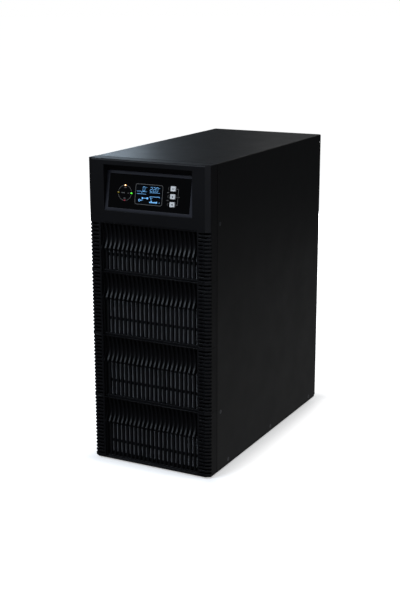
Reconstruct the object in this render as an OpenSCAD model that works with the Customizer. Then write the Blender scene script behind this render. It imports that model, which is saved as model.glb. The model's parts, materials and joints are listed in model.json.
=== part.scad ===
/* [Cabinet] */
// Width of the cabinet across its side walls
cab_w = 248; // [236:1:300]
// Depth from the front of the bezel to the rear edge of the cover
cab_d = 512; // [440:1:620]
// Height from the underside of the cabinet to its top
cab_h = 576; // [520:1:700]
// Height of the rubber feet below the cabinet
foot_h = 3; // [2:0.5:12]
// Radius of a rubber foot
foot_r = 14; // [10:1:20]
// Distance of each foot's centre from the cabinet's side
foot_side = 20; // [18:1:22]
// Distance of each foot's centre from the steel chassis's front and rear ends
foot_end = 17; // [16:1:20]
// Thickness of the steel wrap-round cover
cover_t = 1.2; // [0.8:0.1:2]
// Thickness of the chassis steel: tray, frame, panel and shelves
chassis_t = 1.5; // [1:0.1:2.5]
// Outside radius of the cover's two long bends
bend_r = 2.5; // [1.5:0.5:5]
// Clearance between two sheet parts that lie side by side
sheet_gap = 0.3; // [0.2:0.1:1]
// Height of the tray's upturned flanges
tray_flange = 22; // [16:1:40]
// Depth of the folded edges of the front frame and the rear panel
edge_flange = 20; // [18:1:30]
// Distance of the rear panel in from the cover's rear edge
rear_recess = 14; // [13:0.5:30]

/* [Bezel] */
// Depth of the plastic front, from its face to its rear edge
bezel_d = 30; // [28:1:45]
// Gap between the plastic front and the steel cover
bezel_gap = 1; // [0.5:0.5:3]
// Wall of the plastic mouldings
wall = 2.5; // [2:0.1:3.5]
// Width of the bevel down each front corner, measured across the front
bevel_w = 9.1; // [4:0.1:14]
// Depth of the bevel down each front corner
bevel_d = 5.8; // [3:0.1:7]
// Bevel along the top of the front
top_bevel = 2.2; // [1:0.1:4]
// Gap at each seam between mouldings
seam = 0.6; // [0.3:0.1:1.5]
// Plain border under the lowest slots
foot_border = 2.8; // [2:0.1:10]
// Height of the plain band between the display recess and the first slots
brand_band = 21.5; // [15:0.5:40]
// Share of a full tier that the first, shorter tier takes
first_share = 0.763; // [0.7:0.01:1]

/* [Grille] */
// Number of upright slots in a tier
slots = 22; // [16:1:22]
// Distance from one upright slot to the next
slot_pitch = 9.03; // [8:0.01:9.1]
// Width of an upright slot
slot_w = 5.4; // [4.5:0.1:6]
// Target distance between the short level slots at the corners
corner_pitch = 6.77; // [5:0.01:10]
// Height of a level slot
corner_slot_h = 3.4; // [2:0.1:4]
// Depth of the wall that the level slots cut through, round the bevel
corner_slot_d = 8.6; // [8:0.1:12]
// Width of the solid upright between the slots and the corner strip
cheek_w = 3.2; // [2:0.1:5]
// Height of the scoop above the lip in each tier
scoop_h = 36; // [25:1:40]
// Deepest point of the scoop behind the front face
scoop_d = 8.6; // [5:0.1:10]
// Radius of the hollow in which the scoop turns into the ramp
scoop_fillet = 24; // [6:1:30]
// Height of the ramp that rises from the scoop to the lip
ramp_h = 13; // [8:1:20]
// Height of the lip
lip_h = 3; // [2:0.5:6]
// Radius of the edge where the ramp meets the lip
lip_round = 4; // [1:0.5:6]
// Distance of the lip behind the front face
lip_y = 0.6; // [0.2:0.1:3]
// Distance of the upright slats below the lip behind the front face
slat_y = 4.6; // [2:0.1:6]
// Rear face of the slats
slat_back = 10.6; // [9:0.1:12]
// Rear face of the closed part behind the scoop
scoop_back = 13.5; // [12:0.1:16]
// Floor left behind the scoop's slots
scoop_floor = 2; // [1.5:0.1:3]

/* [Display] */
// Height of the plain edge above the display recess
display_top = 10.5; // [8:0.5:20]
// Height of the display recess
display_h = 83; // [80:1:100]
// Width of the plain front left on each side of the display recess
display_side = 34; // [30:1:40]
// Backward tilt of the display
tilt = 10.3; // [5:0.1:14]
// Slope length of the display frame
frame_h = 72.8; // [72:0.2:76]
// Distance of the frame's lower edge behind the front face
frame_y = 0.6; // [0:0.1:2]
// Clearance round the display frame
frame_gap = 0.3; // [0.2:0.1:0.6]
// Width of the frame to the left and right of the dark panel
frame_side = 6.4; // [5:0.1:10]
// Width of the frame above and below the dark panel
frame_edge = 5.4; // [4:0.1:8]
// Depth of the recess behind the front face
recess_d = 18; // [17:0.5:20]
// Thickness of the dark front panel
lens_t = 2; // [1.5:0.1:2.5]
// Ledge that the dark panel rests on
lens_ledge = 3; // [2:0.5:4]
// Width of the screen window
lcd_w = 55.5; // [50:0.5:58]
// Height of the screen window
lcd_h = 36.4; // [30:0.2:38]
// Radius of the ring of status lamps
ring_r = 13.5; // [10:0.5:15]
// Radius of one status lamp
led_r = 1.6; // [1:0.1:2.5]
// Width of a button
button_w = 11.2; // [8:0.1:12]
// Height of a button
button_h = 8.9; // [7:0.1:10]
// Distance between buttons
button_pitch = 13.9; // [13:0.1:15]
// How far a button stands out of the dark panel
button_out = 1.4; // [1.2:0.1:2.5]
// Travel of a button
button_travel = 1; // [0.5:0.1:1.1]
// Clearance round a button
button_gap = 0.3; // [0.2:0.1:0.5]
// Distance of the circuit board behind the front of the dark panel
board_y = 11.5; // [11:0.5:12.5]
// Thickness of every circuit board
board_t = 1.6; // [1:0.2:2.4]

/* [Batteries] */
// Width of a battery block
batt_w = 65; // [60:1:66]
// Length of a battery block
batt_l = 151; // [140:1:152]
// Height of a battery block without its tabs
batt_h = 94; // [90:1:100]
// Height of a battery's tabs
tab_h = 6; // [4:0.5:8]
// Number of battery levels
levels = 3; // [2:1:3]
// Free height above the batteries of a level
level_air = 18; // [16:1:30]
// Gap between neighbouring battery blocks
batt_gap = 1; // [0.5:0.5:3]
// Free depth between the front frame and the first batteries
batt_front = 26; // [24:1:40]

/* [Power stage] */
// Height of the stand-offs under the power board
standoff_h = 8; // [6:1:12]
// Radius of a bulk capacitor
cap_r = 15; // [12:0.5:17]
// Height of a bulk capacitor
cap_h = 50; // [30:1:55]
// Width of a heat sink
sink_w = 44; // [40:1:50]
// Height of a heat sink
sink_h = 75; // [50:1:85]
// Number of fins on a heat sink
fins = 8; // [5:1:8]
// Thickness of a fin
fin_t = 1.8; // [1.2:0.1:2.5]

/* [Rear] */
// Side of a fan's square frame
fan_size = 92; // [80:1:92]
// Depth of a fan
fan_d = 25; // [20:1:38]
// Distance between the two fan centres
fan_spacing = 104; // [100:1:120]
// Distance of the fan centres below the top of the cabinet
fan_drop = 76; // [70:1:90]
// Distance of a fan's screw holes from the edges of its frame
fan_hole_edge = 4.75; // [4.2:0.05:5]
// Radius of the hole through a cable gland
gland_r = 7; // [4:0.5:8]
// Radius of the earth stud
stud_r = 2.5; // [2:0.5:3]
// Length of the earth stud outside the panel
stud_len = 12; // [8:0.5:12.5]
// Width of one vent slot in the rear panel
vent_w = 3.2; // [2:0.1:4]
// Length of one vent slot
vent_l = 26; // [12:1:30]
// Number of vent slots in a row
vents = 22; // [8:1:24]
// Width of the terminal cover
terminal_w = 196; // [150:1:200]
// Height of the terminal cover
terminal_h = 66; // [60:1:80]

/* [Hidden] */
$fn = 48;

front = -cab_d / 2;
in_w = cab_w - 2 * (cover_t + sheet_gap);
frame_front = bezel_d + bezel_gap;
frame_back = frame_front + chassis_t;
panel_out = cab_d - rear_recess;
panel_in = panel_out - chassis_t;
roof_z = cab_h - cover_t - sheet_gap;
inner_r = max(bend_r - cover_t, 0.3);
post_w = 30;
rail_h = 18;
sill_h = 3;
ribbon_w = 60;
cover_notch = 16;
notch_h = 1.6;
notch_l = 5;
hem_l = 3.5;
foot_places = [for (x = [-1, 1], y = [frame_back + foot_end, panel_in - foot_end])
    [x * (cab_w / 2 - foot_side), y, 0]];
foot_stem_r = 2.5;
foot_barb_r = 3.4;
foot_barb_h = 2.5;

display_zone = display_top + display_h + brand_band;
tier_h = (cab_h - foot_border - display_zone) / (3 + first_share);
first_tier = tier_h * first_share;
head_h = first_tier + display_zone;
grille_half = (slots - 1) / 2 * slot_pitch + slot_w / 2;
cheek_gap = 1.4;
cheek_in = grille_half + cheek_gap;
cheek_out = cheek_in + cheek_w;
lip_top = scoop_h + ramp_h;
// How far the rounds of a slat reach past the edges that they touch, so that they cross them cleanly
cross_over = 0.03;
rim = 3;
boss_r = 4;
boss_z = 12;
recess_t = 1.8;

filter_top = cab_h - display_zone - 2;
filter_d = 4;
filter_rim = 7;
mesh_edge = 4;
mesh_t = 1.5;
bar_t = 2;
bar_h = 5;
bar_z = 30;

display_w = cab_w - 2 * display_side;
lens_w = display_w - 2 * (frame_gap + frame_side);
lens_h = frame_h - 2 * frame_edge;
lens_y = 0.5;
lens_back = lens_y + lens_t;
window_in = lens_w - 2 * lens_ledge;
lens_fit = 0.15;
frame_post_r = 2.5;
display_z = head_h - display_top - display_h;
lcd_frame = 3;
control_gap = (lens_w - lcd_w) / 2;
ring_x = -lcd_w / 2 - control_gap * 0.4;
button_x = lcd_w / 2 + control_gap * 0.365;
mid_w = frame_h / 2 - 2.4;
button_back = lens_back + button_gap;
lip_w = 1.4;
switch_h = 3.5;
switch_size = 6;
plunger_h = 0.5;
plunger_r = 1.7;
stem_end = board_y - switch_h - plunger_h - button_travel - 0.2;

tray_top = chassis_t;
level_pitch = batt_h + tab_h + level_air;
deck_z = tray_top + levels * level_pitch;
power_h = roof_z - deck_z;
batt_y = frame_back + batt_front;
batt_end = batt_y + 2 * batt_l + batt_gap;
flange = 12;
arm_w = 16;
cable_hole_r = 12;
cable_hole_x = 60;
cable_hole_back = 40;
bar_up = 24;
bar_out = 14;
lid_h = 12;
tab_w = 12;
tab_in = 10;

board_l = 330;
board_edge = 12;
board_w = in_w - 2 * board_edge;
board_x = board_w / 2;
sink_edge = 14;
sink_start = 70;
transistor_pitch = 36;
power_y = frame_back + batt_front + 2;
power_board_z = deck_z + standoff_h;
power_top = power_board_z + board_t;

fan_z = cab_h - fan_drop;
fan_front = panel_in - fan_d;
fan_hole_pitch = fan_size - 2 * fan_hole_edge;
fan_wall = 1.8;
fan_bore = fan_size / 2 - fan_wall;
vent_pitch = 7.6;
vent_z = 188;
blade_gap = 1.2;
blade_r = fan_bore - blade_gap;
hub_r = fan_size * 0.2;
shaft_r = 2.5;
run_gap = 0.05;
blades = 7;
blade_pitch = 42;
blade_t = 1.6;
wire_r = 0.9;
guard_y = panel_out + wire_r + 0.2;

screw_r = 1.9;
head_r = 3.8;
head_cone = 2.1;
screw_gap = 0.1;
pan_r = 3.2;
pan_h = 2;

breaker_x = -64;
breaker_z = deck_z - 62;
breaker_w = 36;
nose_h = 45;
nose_out = 2.5;
lever_r = 8;
lever_w = 26;
lever_len = 12;
lever_on = 40;
lever_y = panel_out - 1.5;
lever_gap = 0.8;
breaker_d = 58;
breaker_h = 84;

terminal_z = 92;
cover_lap = 10;
window_w = terminal_w - 2 * cover_lap - 2;
window_h = terminal_h - 2 * cover_lap;
strip_h = 34;
strip_d = 24;
poles = 8;
gland_z = 40;
gland_x = 46;
gland_out = 12;
nut_h = 4;
gland_body_r = gland_r + 5;
gland_thread_r = gland_body_r - 1.5;
gland_nut_r = gland_body_r + 3;
gland_in = 8;
earth_x = in_w / 2 - 24;
socket_x = 62;
socket_hole = 16;
socket_out = 10;
socket_wall = 4;
socket_w = 50;
socket_h = 24;

signal_z = (deck_z + fan_z - fan_size / 2) / 2;
cut_gap = 0.3;
usb_w = 12;
serial_w = 10;
serial_h = 22;
plate_edge = 6;
slot_edge = 12;
slot_plate_w = 120;
slot_plate_h = 34;
slot_x = -34;
usb_x = 60;
serial_x = 88;

// Screw places on a side wall: distance from the front face, height above the underside
side_screws = [
    [41.6, cab_h - 108], [45.3, tray_top + level_pitch - 4.5],
    [78, 9.5], [(cab_d + 34) / 2, 9.5], [cab_d - 36, 9.5],
];

// Puts a part drawn from the bezel's face and the cabinet's underside in its place
module place() translate([0, front, foot_h]) children();

// The same, on the tilted plane of the display: X across, Y inwards, Z up the slope
module on_display() {
    place() translate([0, frame_y, cab_h - head_h + display_z]) rotate([-tilt, 0, 0]) children();
}

// A cylinder along Y from y0 to y1
module rod_y(r, y0, y1) translate([0, y0, 0]) rotate([-90, 0, 0]) cylinder(r = r, h = y1 - y0);

// A box given by its middle in X and its two limits in Y and Z
module slab(w, y0, y1, z0, z1) translate([-w / 2, y0, z0]) cube([w, y1 - y0, z1 - z0]);

// Extrudes an outline drawn as [y, z] along X, centred
module along_x(w) translate([-w / 2, 0, 0]) rotate([90, 0, 90]) linear_extrude(w) children();

// A countersunk screw along +X, its head flush with x = 0
module flat_screw(len) {
    difference() {
        union() {
            rotate([0, 90, 0]) cylinder(r1 = head_r, r2 = screw_r, h = head_cone);
            rotate([0, 90, 0]) cylinder(r = screw_r, h = len);
        }
        for (a = [0, 90]) rotate([a, 0, 0]) translate([-1, -2.4, -0.4]) cube([2.1, 4.8, 0.8]);
    }
}

// The hole that a countersunk screw needs
module flat_hole(len) {
    translate([-1, 0, 0]) rotate([0, 90, 0]) cylinder(r = head_r + screw_gap, h = 1.001);
    rotate([0, 90, 0]) cylinder(r1 = head_r + screw_gap, r2 = screw_r + screw_gap, h = head_cone);
    rotate([0, 90, 0]) cylinder(r = screw_r + screw_gap, h = len);
}

// A pan-head screw along -Y, its head's underside at y = 0
module pan_screw(len) {
    difference() {
        union() {
            rod_y(screw_r, -len, 0.01);
            rod_y(pan_r, 0, pan_h);
        }
        for (a = [0, 90]) rotate([0, a, 0]) translate([-2, pan_h - 1, -0.4]) cube([4, 2, 0.8]);
    }
}

// Puts children at each side screw, drawn for the +X side with +X pointing inwards
module at_side_screws() {
    for (side = [0, 1], p = side_screws) mirror([side, 0, 0])
        translate([cab_w / 2, p[0], p[1]]) rotate([0, 0, 180]) children();
}

module base_tray() {
    color("dimgray") place() difference() {
        slab(in_w, frame_back, panel_in, 0, tray_flange);
        slab(in_w - 2 * chassis_t, frame_back + chassis_t, panel_in - chassis_t,
            tray_top, tray_flange + 1);
        at_side_screws() flat_hole(10);
        for (p = foot_places) translate(p) translate([0, 0, -1])
            cylinder(r = foot_stem_r + screw_gap, h = chassis_t + 2);
    }
}

// Four rubber feet, each with the stem that plugs into the tray
module rubber_feet() {
    color("black") place() for (p = foot_places) translate(p) {
        translate([0, 0, -foot_h]) cylinder(r1 = foot_r - 1, r2 = foot_r, h = foot_h);
        cylinder(r = foot_stem_r, h = chassis_t + 1);
        translate([0, 0, chassis_t]) cylinder(r1 = foot_barb_r, r2 = foot_stem_r - 0.5, h = foot_barb_h);
    }
}

// Inverted U with round bends, as [x, z]
module cover_outline(w, h, r) {
    translate([-w / 2, 0]) square([w, h - r]);
    translate([-w / 2 + r, 0]) square([w - 2 * r, h]);
    for (x = [-1, 1]) translate([x * (w / 2 - r), h - r]) circle(r = r);
}

module cabinet_cover() {
    cover_l = cab_d - frame_front;
    notch_z = cab_h - cover_notch;
    color([0.1, 0.1, 0.11]) place() difference() {
        translate([0, cab_d, 0]) rotate([90, 0, 0]) linear_extrude(cover_l) difference() {
            cover_outline(cab_w, cab_h, bend_r);
            translate([0, -1]) cover_outline(cab_w - 2 * cover_t, cab_h - cover_t + 1, inner_r);
        }
        at_side_screws() flat_hole(10);
        for (y = [frame_front + notch_l, cab_d - notch_l - 3])
            slab(cab_w + 2, y, y + notch_l, notch_z, notch_z + notch_h);
        slab(cab_w + 2, cab_d - hem_l, cab_d + 1, -1, hem_l);
    }
}

module cover_screws() {
    color("dimgray") place() at_side_screws() flat_screw(8);
}

// A flat plate with folded side and top edges; dir points to the side the edges fold to
module folded_plate(y, dir) {
    far = y + dir * edge_flange;
    translate([0, max(y, y + dir * chassis_t), 0]) rotate([90, 0, 0])
        linear_extrude(chassis_t) cover_outline(in_w, roof_z, inner_r);
    slab(in_w - 2 * inner_r, min(y, far), max(y, far), roof_z - chassis_t, roof_z);
    for (x = [-1, 1]) translate([x * (in_w - chassis_t) / 2, 0, 0])
        slab(chassis_t, min(y, far), max(y, far), tray_flange + 1, roof_z - inner_r);
}

module front_frame() {
    color("dimgray") place() difference() {
        folded_plate(frame_front, 1);
        for (i = [0:levels - 1])
            slab(in_w - 2 * post_w, frame_front - 1, frame_back + 1,
                tray_top + i * level_pitch + tray_flange + sill_h,
                tray_top + (i + 1) * level_pitch - rail_h);
        slab(in_w - 2 * post_w, frame_front - 1, frame_back + 1,
            deck_z + rail_h + 2, cab_h - display_zone + rail_h + 2);
        slab(ribbon_w, frame_front - 1, frame_back + 1,
            cab_h - display_zone + post_w + rail_h + 2, cab_h - post_w);
        at_side_screws() flat_hole(10);
    }
}

module at_fans() {
    for (x = [-1, 1]) translate([x * fan_spacing / 2, 0, fan_z]) children();
}

// The places of one fan's four screws
module fan_corners() {
    for (x = [-1, 1], z = [-1, 1])
        translate([x * fan_hole_pitch / 2, 0, z * fan_hole_pitch / 2]) children();
}

// Puts children at each screw of the plates on the rear panel
module at_panel_screws() {
    for (x = [-1, 1]) {
        for (z = [-1, 1])
            translate([x * (terminal_w / 2 - plate_edge), panel_out,
                terminal_z + z * (terminal_h / 2 - plate_edge)]) children();
        translate([slot_x + x * (slot_plate_w / 2 - plate_edge), panel_out, signal_z]) children();
    }
}

// Two rows of upright slots with round ends, centred on the panel
module vent_slots() {
    reach = vent_l / 2 - vent_w / 2;
    for (i = [0:vents - 1], row = [-0.5, 0.5])
        translate([(i - (vents - 1) / 2) * vent_pitch, panel_out + 1, vent_z + row * (vent_l + 6)])
            rotate([90, 0, 0]) linear_extrude(chassis_t + 2) {
                square([vent_w, 2 * reach], center = true);
                for (end = [-1, 1]) translate([0, end * reach]) circle(r = vent_w / 2);
            }
}

module rear_panel() {
    color("dimgray") place() difference() {
        folded_plate(panel_out, -1);
        at_side_screws() flat_hole(10);
        at_fans() rod_y(fan_bore, panel_in - 1, panel_out + 1);
        at_fans() fan_corners() rod_y(screw_r + screw_gap, panel_in - 1, panel_out + 1);
        at_panel_screws() rod_y(screw_r + screw_gap, -chassis_t - 1, 1);
        translate([breaker_x, 0, breaker_z])
            slab(breaker_w + 2 * cut_gap, panel_in - 1, panel_out + 1,
                -nose_h / 2 - cut_gap, nose_h / 2 + cut_gap);
        translate([0, 0, terminal_z])
            slab(window_w, panel_in - 1, panel_out + 1, -window_h / 2, window_h / 2);
        translate([slot_x, 0, signal_z])
            slab(slot_plate_w - 2 * slot_edge, panel_in - 1, panel_out + 1,
                -slot_plate_h / 2 + slot_edge / 3, slot_plate_h / 2 - slot_edge / 3);
        translate([usb_x, 0, signal_z]) slab(usb_w + 2 * cut_gap, panel_in - 1, panel_out + 1,
            -usb_w / 2 - cut_gap, usb_w / 2 + cut_gap);
        translate([serial_x, 0, signal_z]) slab(serial_w + 2 * cut_gap, panel_in - 1, panel_out + 1,
            -serial_h / 2 - cut_gap, serial_h / 2 + cut_gap);
        translate([socket_x, 0, breaker_z])
            slab(socket_w + 2 * cut_gap, panel_in - 1, panel_out + 1,
                -socket_h / 2 - cut_gap, socket_h / 2 + cut_gap);
        for (x = [-1, 1]) translate([x * gland_x, 0, gland_z])
            rod_y(gland_thread_r + screw_gap, panel_in - 1, panel_out + 1);
        translate([earth_x, 0, gland_z]) rod_y(stud_r + screw_gap, panel_in - 1, panel_out + 1);
        vent_slots();
    }
}

// Outline of the plastic front seen from above, as [x, y]
module bezel_outline() {
    w = cab_w / 2;
    polygon([[-w, bezel_d], [-w, bevel_d], [-w + bevel_w, 0], [w - bevel_w, 0], [w, bevel_d], [w, bezel_d]]);
}

// Plan of its walls: sides, corner bevels and face
module bezel_plan() {
    w = cab_w / 2;
    difference() {
        bezel_outline();
        polygon([[-w + wall, bezel_d + 1], [-w + wall, bevel_d + wall / 2],
            [-w + bevel_w + wall / 2, wall], [w - bevel_w - wall / 2, wall],
            [w - wall, bevel_d + wall / 2], [w - wall, bezel_d + 1]]);
    }
}

// The corner at p between straight edges along a and b, less the circle of radius r that touches both
module corner_less_round(p, a, b, r) {
    half = acos(a * b) / 2;
    centre = p + (a + b) / norm(a + b) * r / sin(half);
    difference() {
        polygon([p, p + a * r / tan(half), centre, p + b * r / tan(half)]);
        translate(centre) circle(r = r + cross_over, $fn = 180);
    }
}

// Profile of the slats of a tier of height h, as [y, z]: scoop, ramp, lip and upright slats
module slat_profile(h) {
    scoop_r = (scoop_h * scoop_h + scoop_d * scoop_d) / (2 * scoop_d);
    foot = [scoop_d, h - scoop_h];
    lip = [lip_y, h - lip_top];
    down = (lip - foot) / norm(lip - foot);
    out = [down[1], -down[0]];
    // The round of the lip takes up to 0.8 of its height
    edge_r = min(lip_round, lip_h * 0.8 * tan(acos(down[1]) / 2));
    // The hollow's circle touches the scoop's, and the ramp at up to 0.7 of its length
    most = norm(lip - foot) * 0.7;
    lean = -scoop_r * down[0];
    hollow_r = min(scoop_fillet, most * (2 * lean - most) / (2 * scoop_r * (1 + out[0])));
    s = lean - sqrt(lean * lean - 2 * scoop_r * hollow_r * (1 + out[0]));
    hollow = foot + hollow_r * out + s * down;
    mouth = foot - [scoop_r, 0];
    touch = mouth + (hollow - mouth) * scoop_r / norm(hollow - mouth);
    difference() {
        polygon([[0, h], [0, h - scoop_h], foot, lip,
            [lip_y, h - lip_top - lip_h], [slat_y, h - lip_top - lip_h - 2], [slat_y, 0],
            [slat_back, 0], [slat_back, h - lip_top - lip_h],
            [scoop_back, h - lip_top - lip_h + 3], [scoop_back, h]]);
        translate(mouth) intersection() {
            circle(r = scoop_r, $fn = 180);
            square([scoop_r, scoop_h]);
        }
        corner_less_round(lip, -down, [0, -1], edge_r);
    }
    difference() {
        polygon([foot + [1, 0], foot + s * down - out, foot + s * down, hollow, touch, touch + [1, 0]]);
        translate(hollow) circle(r = hollow_r + cross_over, $fn = 180);
    }
}

// Level slots of a tier of height h, through both corner strips
module corner_slots(h) {
    n = round((h - rim) / corner_pitch);
    step = (h - rim) / n;
    for (x = [-1, 1], i = [0:n - 1])
        translate([x * (cheek_out + cab_w / 2 + 1) / 2, 0, rim / 2 + (i + 0.5) * step])
            slab(cab_w / 2 + 1 - cheek_out, -1, corner_slot_d, -corner_slot_h / 2, corner_slot_h / 2);
}

// Upright slots of a tier of height h
module upright_slots(h) {
    blind = scoop_back - scoop_floor;
    split = h - lip_top - lip_h;
    for (i = [0:slots - 1]) translate([(i - (slots - 1) / 2) * slot_pitch, 0, 0]) {
        slab(slot_w, -1, scoop_back + 1, rim, split);
        slab(slot_w, -1, blind, split - 0.01, h - rim);
    }
}

// One grille tier: plan walls, slats, cheeks, rear bosses, with all its slots
module tier(h) {
    difference() {
        union() {
            difference() {
                linear_extrude(h) bezel_plan();
                slab(2 * cheek_in, -1, wall + 1, -1, h + 1);
            }
            along_x(2 * cheek_in) slat_profile(h);
            for (x = [-1, 1]) translate([x * (cheek_in + cheek_out) / 2, 0, 0])
                slab(cheek_w, 0, scoop_back, 0, h);
            for (x = [-1, 1], z = [boss_z, h - boss_z])
                translate([x * (cheek_out + boss_r + 1), 0, z]) rod_y(boss_r, wall - 0.5, frame_front);
        }
        upright_slots(h);
        corner_slots(h);
    }
}

module grille_tier(i) {
    color([0.09, 0.09, 0.1]) place() translate([0, 0, foot_border + i * tier_h]) tier(tier_h - seam);
}

module upper_grille() grille_tier(2);

module middle_grille() grille_tier(1);

module lower_grille() {
    grille_tier(0);
    color([0.09, 0.09, 0.1]) place() linear_extrude(foot_border + 0.01) bezel_outline();
}

// The top moulding: display recess, plain band and the first tier in one piece
module display_bezel() {
    plain_z = first_tier - 0.01;
    color([0.09, 0.09, 0.1]) place() translate([0, 0, cab_h - head_h]) difference() {
        union() {
            tier(first_tier);
            translate([0, 0, plain_z]) linear_extrude(head_h - plain_z) bezel_plan();
            slab(2 * cheek_out, 0.5, scoop_back, plain_z - rim + 0.1, plain_z + wall);
            slab(cab_w - 1, bevel_d, bezel_d, head_h - wall, head_h);
            slab(cab_w - 2 * bevel_w, 0.5, bezel_d, head_h - wall, head_h);
            slab(display_w + 2 * recess_t, 0.5, recess_d + recess_t,
                display_z - recess_t, display_z + display_h + recess_t);
            for (x = [-1, 1]) translate([x * (display_w / 2 + recess_t + boss_r - 0.5), 0, display_z + 20])
                rod_y(boss_r, 1, frame_front);
        }
        slab(display_w, -1, recess_d, display_z, display_z + display_h);
        slab(lens_w - 4, recess_d - 1, recess_d + recess_t + 1, display_z + 4, display_z + frame_h - 2);
        translate([0, 0, head_h]) rotate([45, 0, 0])
            cube([cab_w + 2, top_bevel * sqrt(2), top_bevel * sqrt(2)], center = true);
    }
}

// Heights of the filter frame's cross bars above the cabinet's underside
function bar_heights() = [for (i = [0:3]) foot_border + i * tier_h + bar_z];

module filter_frame() {
    color([0.05, 0.05, 0.05]) place() difference() {
        slab(2 * cheek_out, scoop_back, scoop_back + filter_d, foot_border + frame_gap, filter_top);
        slab(2 * (cheek_out - filter_rim), scoop_back - 1, scoop_back + filter_d + 1,
            foot_border + filter_rim, filter_top - filter_rim);
        slab(2 * (cheek_out - mesh_edge), scoop_back + bar_t, scoop_back + filter_d + 1,
            foot_border + mesh_edge, filter_top - mesh_edge);
    }
    color([0.05, 0.05, 0.05]) place() for (z = bar_heights())
        slab(2 * (cheek_out - filter_rim) + 0.1, scoop_back, scoop_back + bar_t,
            z - bar_h / 2, z + bar_h / 2);
}

module dust_filter() {
    fit = mesh_edge + 0.5;
    color([0.32, 0.34, 0.36]) place()
        slab(2 * (cheek_out - fit), scoop_back + bar_t, scoop_back + bar_t + mesh_t,
            foot_border + fit, filter_top - fit);
}

// The tilted frame round the dark panel, with skirts back to the recess wall
module display_frame() {
    rise = frame_h * cos(tilt);
    color([0.3, 0.31, 0.33]) difference() {
        place() translate([0, 0, cab_h - head_h + display_z]) along_x(display_w - 2 * frame_gap)
            polygon([[frame_y, frame_gap], [frame_y + frame_h * sin(tilt), rise],
                [recess_d, rise], [recess_d, frame_gap]]);
        on_display() slab(lens_w, -1, lens_back, frame_edge, frame_edge + lens_h);
        on_display() slab(window_in, 0, recess_d + 25,
            frame_edge + lens_ledge, frame_edge + lens_h - lens_ledge);
    }
    color([0.3, 0.31, 0.33]) on_display()
        for (x = [-1, 1], z = [frame_edge + lens_ledge, frame_edge + lens_h - lens_ledge])
            translate([x * (lens_w / 2 - lens_ledge - frame_post_r + 0.5), 0, z])
                rod_y(frame_post_r, lens_back, board_y);
}

// Puts children at each of the three buttons, counted from the top
module at_button(i) translate([button_x, 0, mid_w + (1 - i) * button_pitch]) children();

// Places of the four status lamps: angle round the ring from +X
module at_lamp(a) translate([ring_x + ring_r * cos(a), 0, mid_w + ring_r * sin(a)]) children();

module display_panel() {
    color([0.02, 0.02, 0.02]) on_display() difference() {
        slab(lens_w - 2 * lens_fit, lens_y, lens_back, frame_edge + lens_fit, frame_edge + lens_h - lens_fit);
        for (i = [0:2]) at_button(i)
            slab(button_w + 2 * button_gap, 0, lens_back + 1,
                -button_h / 2 - button_gap, button_h / 2 + button_gap);
        for (a = [0:90:270]) at_lamp(a) rod_y(led_r + screw_gap, 0, lens_back + 1);
    }
}

module screen_module() {
    color([0.15, 0.4, 0.6]) on_display()
        slab(lcd_w + 2 * lcd_frame, lens_back, board_y,
            mid_w - lcd_h / 2 - lcd_frame, mid_w + lcd_h / 2 + lcd_frame);
}

module display_board() {
    color("darkgreen") on_display()
        slab(window_in - 1, board_y, board_y + board_t,
            frame_edge + lens_ledge + 0.5, frame_edge + lens_h - lens_ledge - 0.5);
}

module key_switches() {
    color("gray") on_display() for (i = [0:2]) at_button(i) {
        slab(switch_size, board_y - switch_h, board_y, -switch_size / 2, switch_size / 2);
        rod_y(plunger_r, board_y - switch_h - plunger_h, board_y - switch_h + 0.1);
    }
}

module lamp(a, tint) color(tint) on_display() at_lamp(a) rod_y(led_r, lens_y, board_y);

module lamp_amber() lamp(90, "orange");

module lamp_yellow() lamp(180, "goldenrod");

module lamp_green() lamp(0, "lime");

module lamp_red() lamp(270, "maroon");

// A push button: cap, retaining lip behind the panel and the stem that meets the switch
module button(i) {
    color([0.75, 0.73, 0.7]) on_display() at_button(i) {
        slab(button_w, lens_y - button_out, button_back + 0.1, -button_h / 2, button_h / 2);
        slab(button_w + 2 * lip_w, button_back, button_back + 1, -button_h / 2 - lip_w, button_h / 2 + lip_w);
        rod_y(plunger_r, button_back + 0.9, stem_end);
    }
}

module button_up() button(0);

module button_down() button(1);

module button_enter() button(2);

// A shelf from the front frame to the rear panel, its top at height z; open is the free rear bay
module shelf(z, open) {
    color("gray") place() difference() {
        union() {
            slab(in_w, frame_back, panel_in, z - chassis_t, z);
            for (y = [frame_back, panel_in - chassis_t]) slab(in_w, y, y + chassis_t, z - flange, z);
            for (x = [-1, 1]) translate([x * (in_w - chassis_t) / 2, 0, 0])
                slab(chassis_t, frame_back + edge_flange + 2, panel_in - edge_flange - 2, z - flange, z);
        }
        if (open) slab(in_w - 2 * arm_w, batt_end + 8, panel_in + 1, z - flange - 1, z + 1);
        for (x = [-1, 1], y = [frame_back + edge_flange / 2, panel_in - edge_flange / 2])
            translate([x * in_w / 2, 0, 0])
                slab(2 * (chassis_t + sheet_gap), y - edge_flange / 2 - 1, y + edge_flange / 2 + 1,
                    z - flange - 1, z + 1);
        if (!open) for (x = [-1, 1])
            translate([x * cable_hole_x, panel_in - cable_hole_back, z - 5])
                cylinder(r = cable_hole_r, h = 10);
    }
}

module lower_shelf() shelf(tray_top + level_pitch, true);

module upper_shelf() shelf(tray_top + 2 * level_pitch, true);

module power_deck() shelf(deck_z, false);

// Angle bars that hold the batteries of each level back from the front frame
module battery_bars() {
    color("silver") place() for (i = [0:levels - 1]) translate([0, 0, tray_top + i * level_pitch]) {
        slab(3 * batt_w, batt_y - 0.5 - chassis_t, batt_y - 0.5, 0, bar_up);
        slab(3 * batt_w, batt_y - bar_out, batt_y - 0.5, 0, chassis_t);
    }
}

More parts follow.
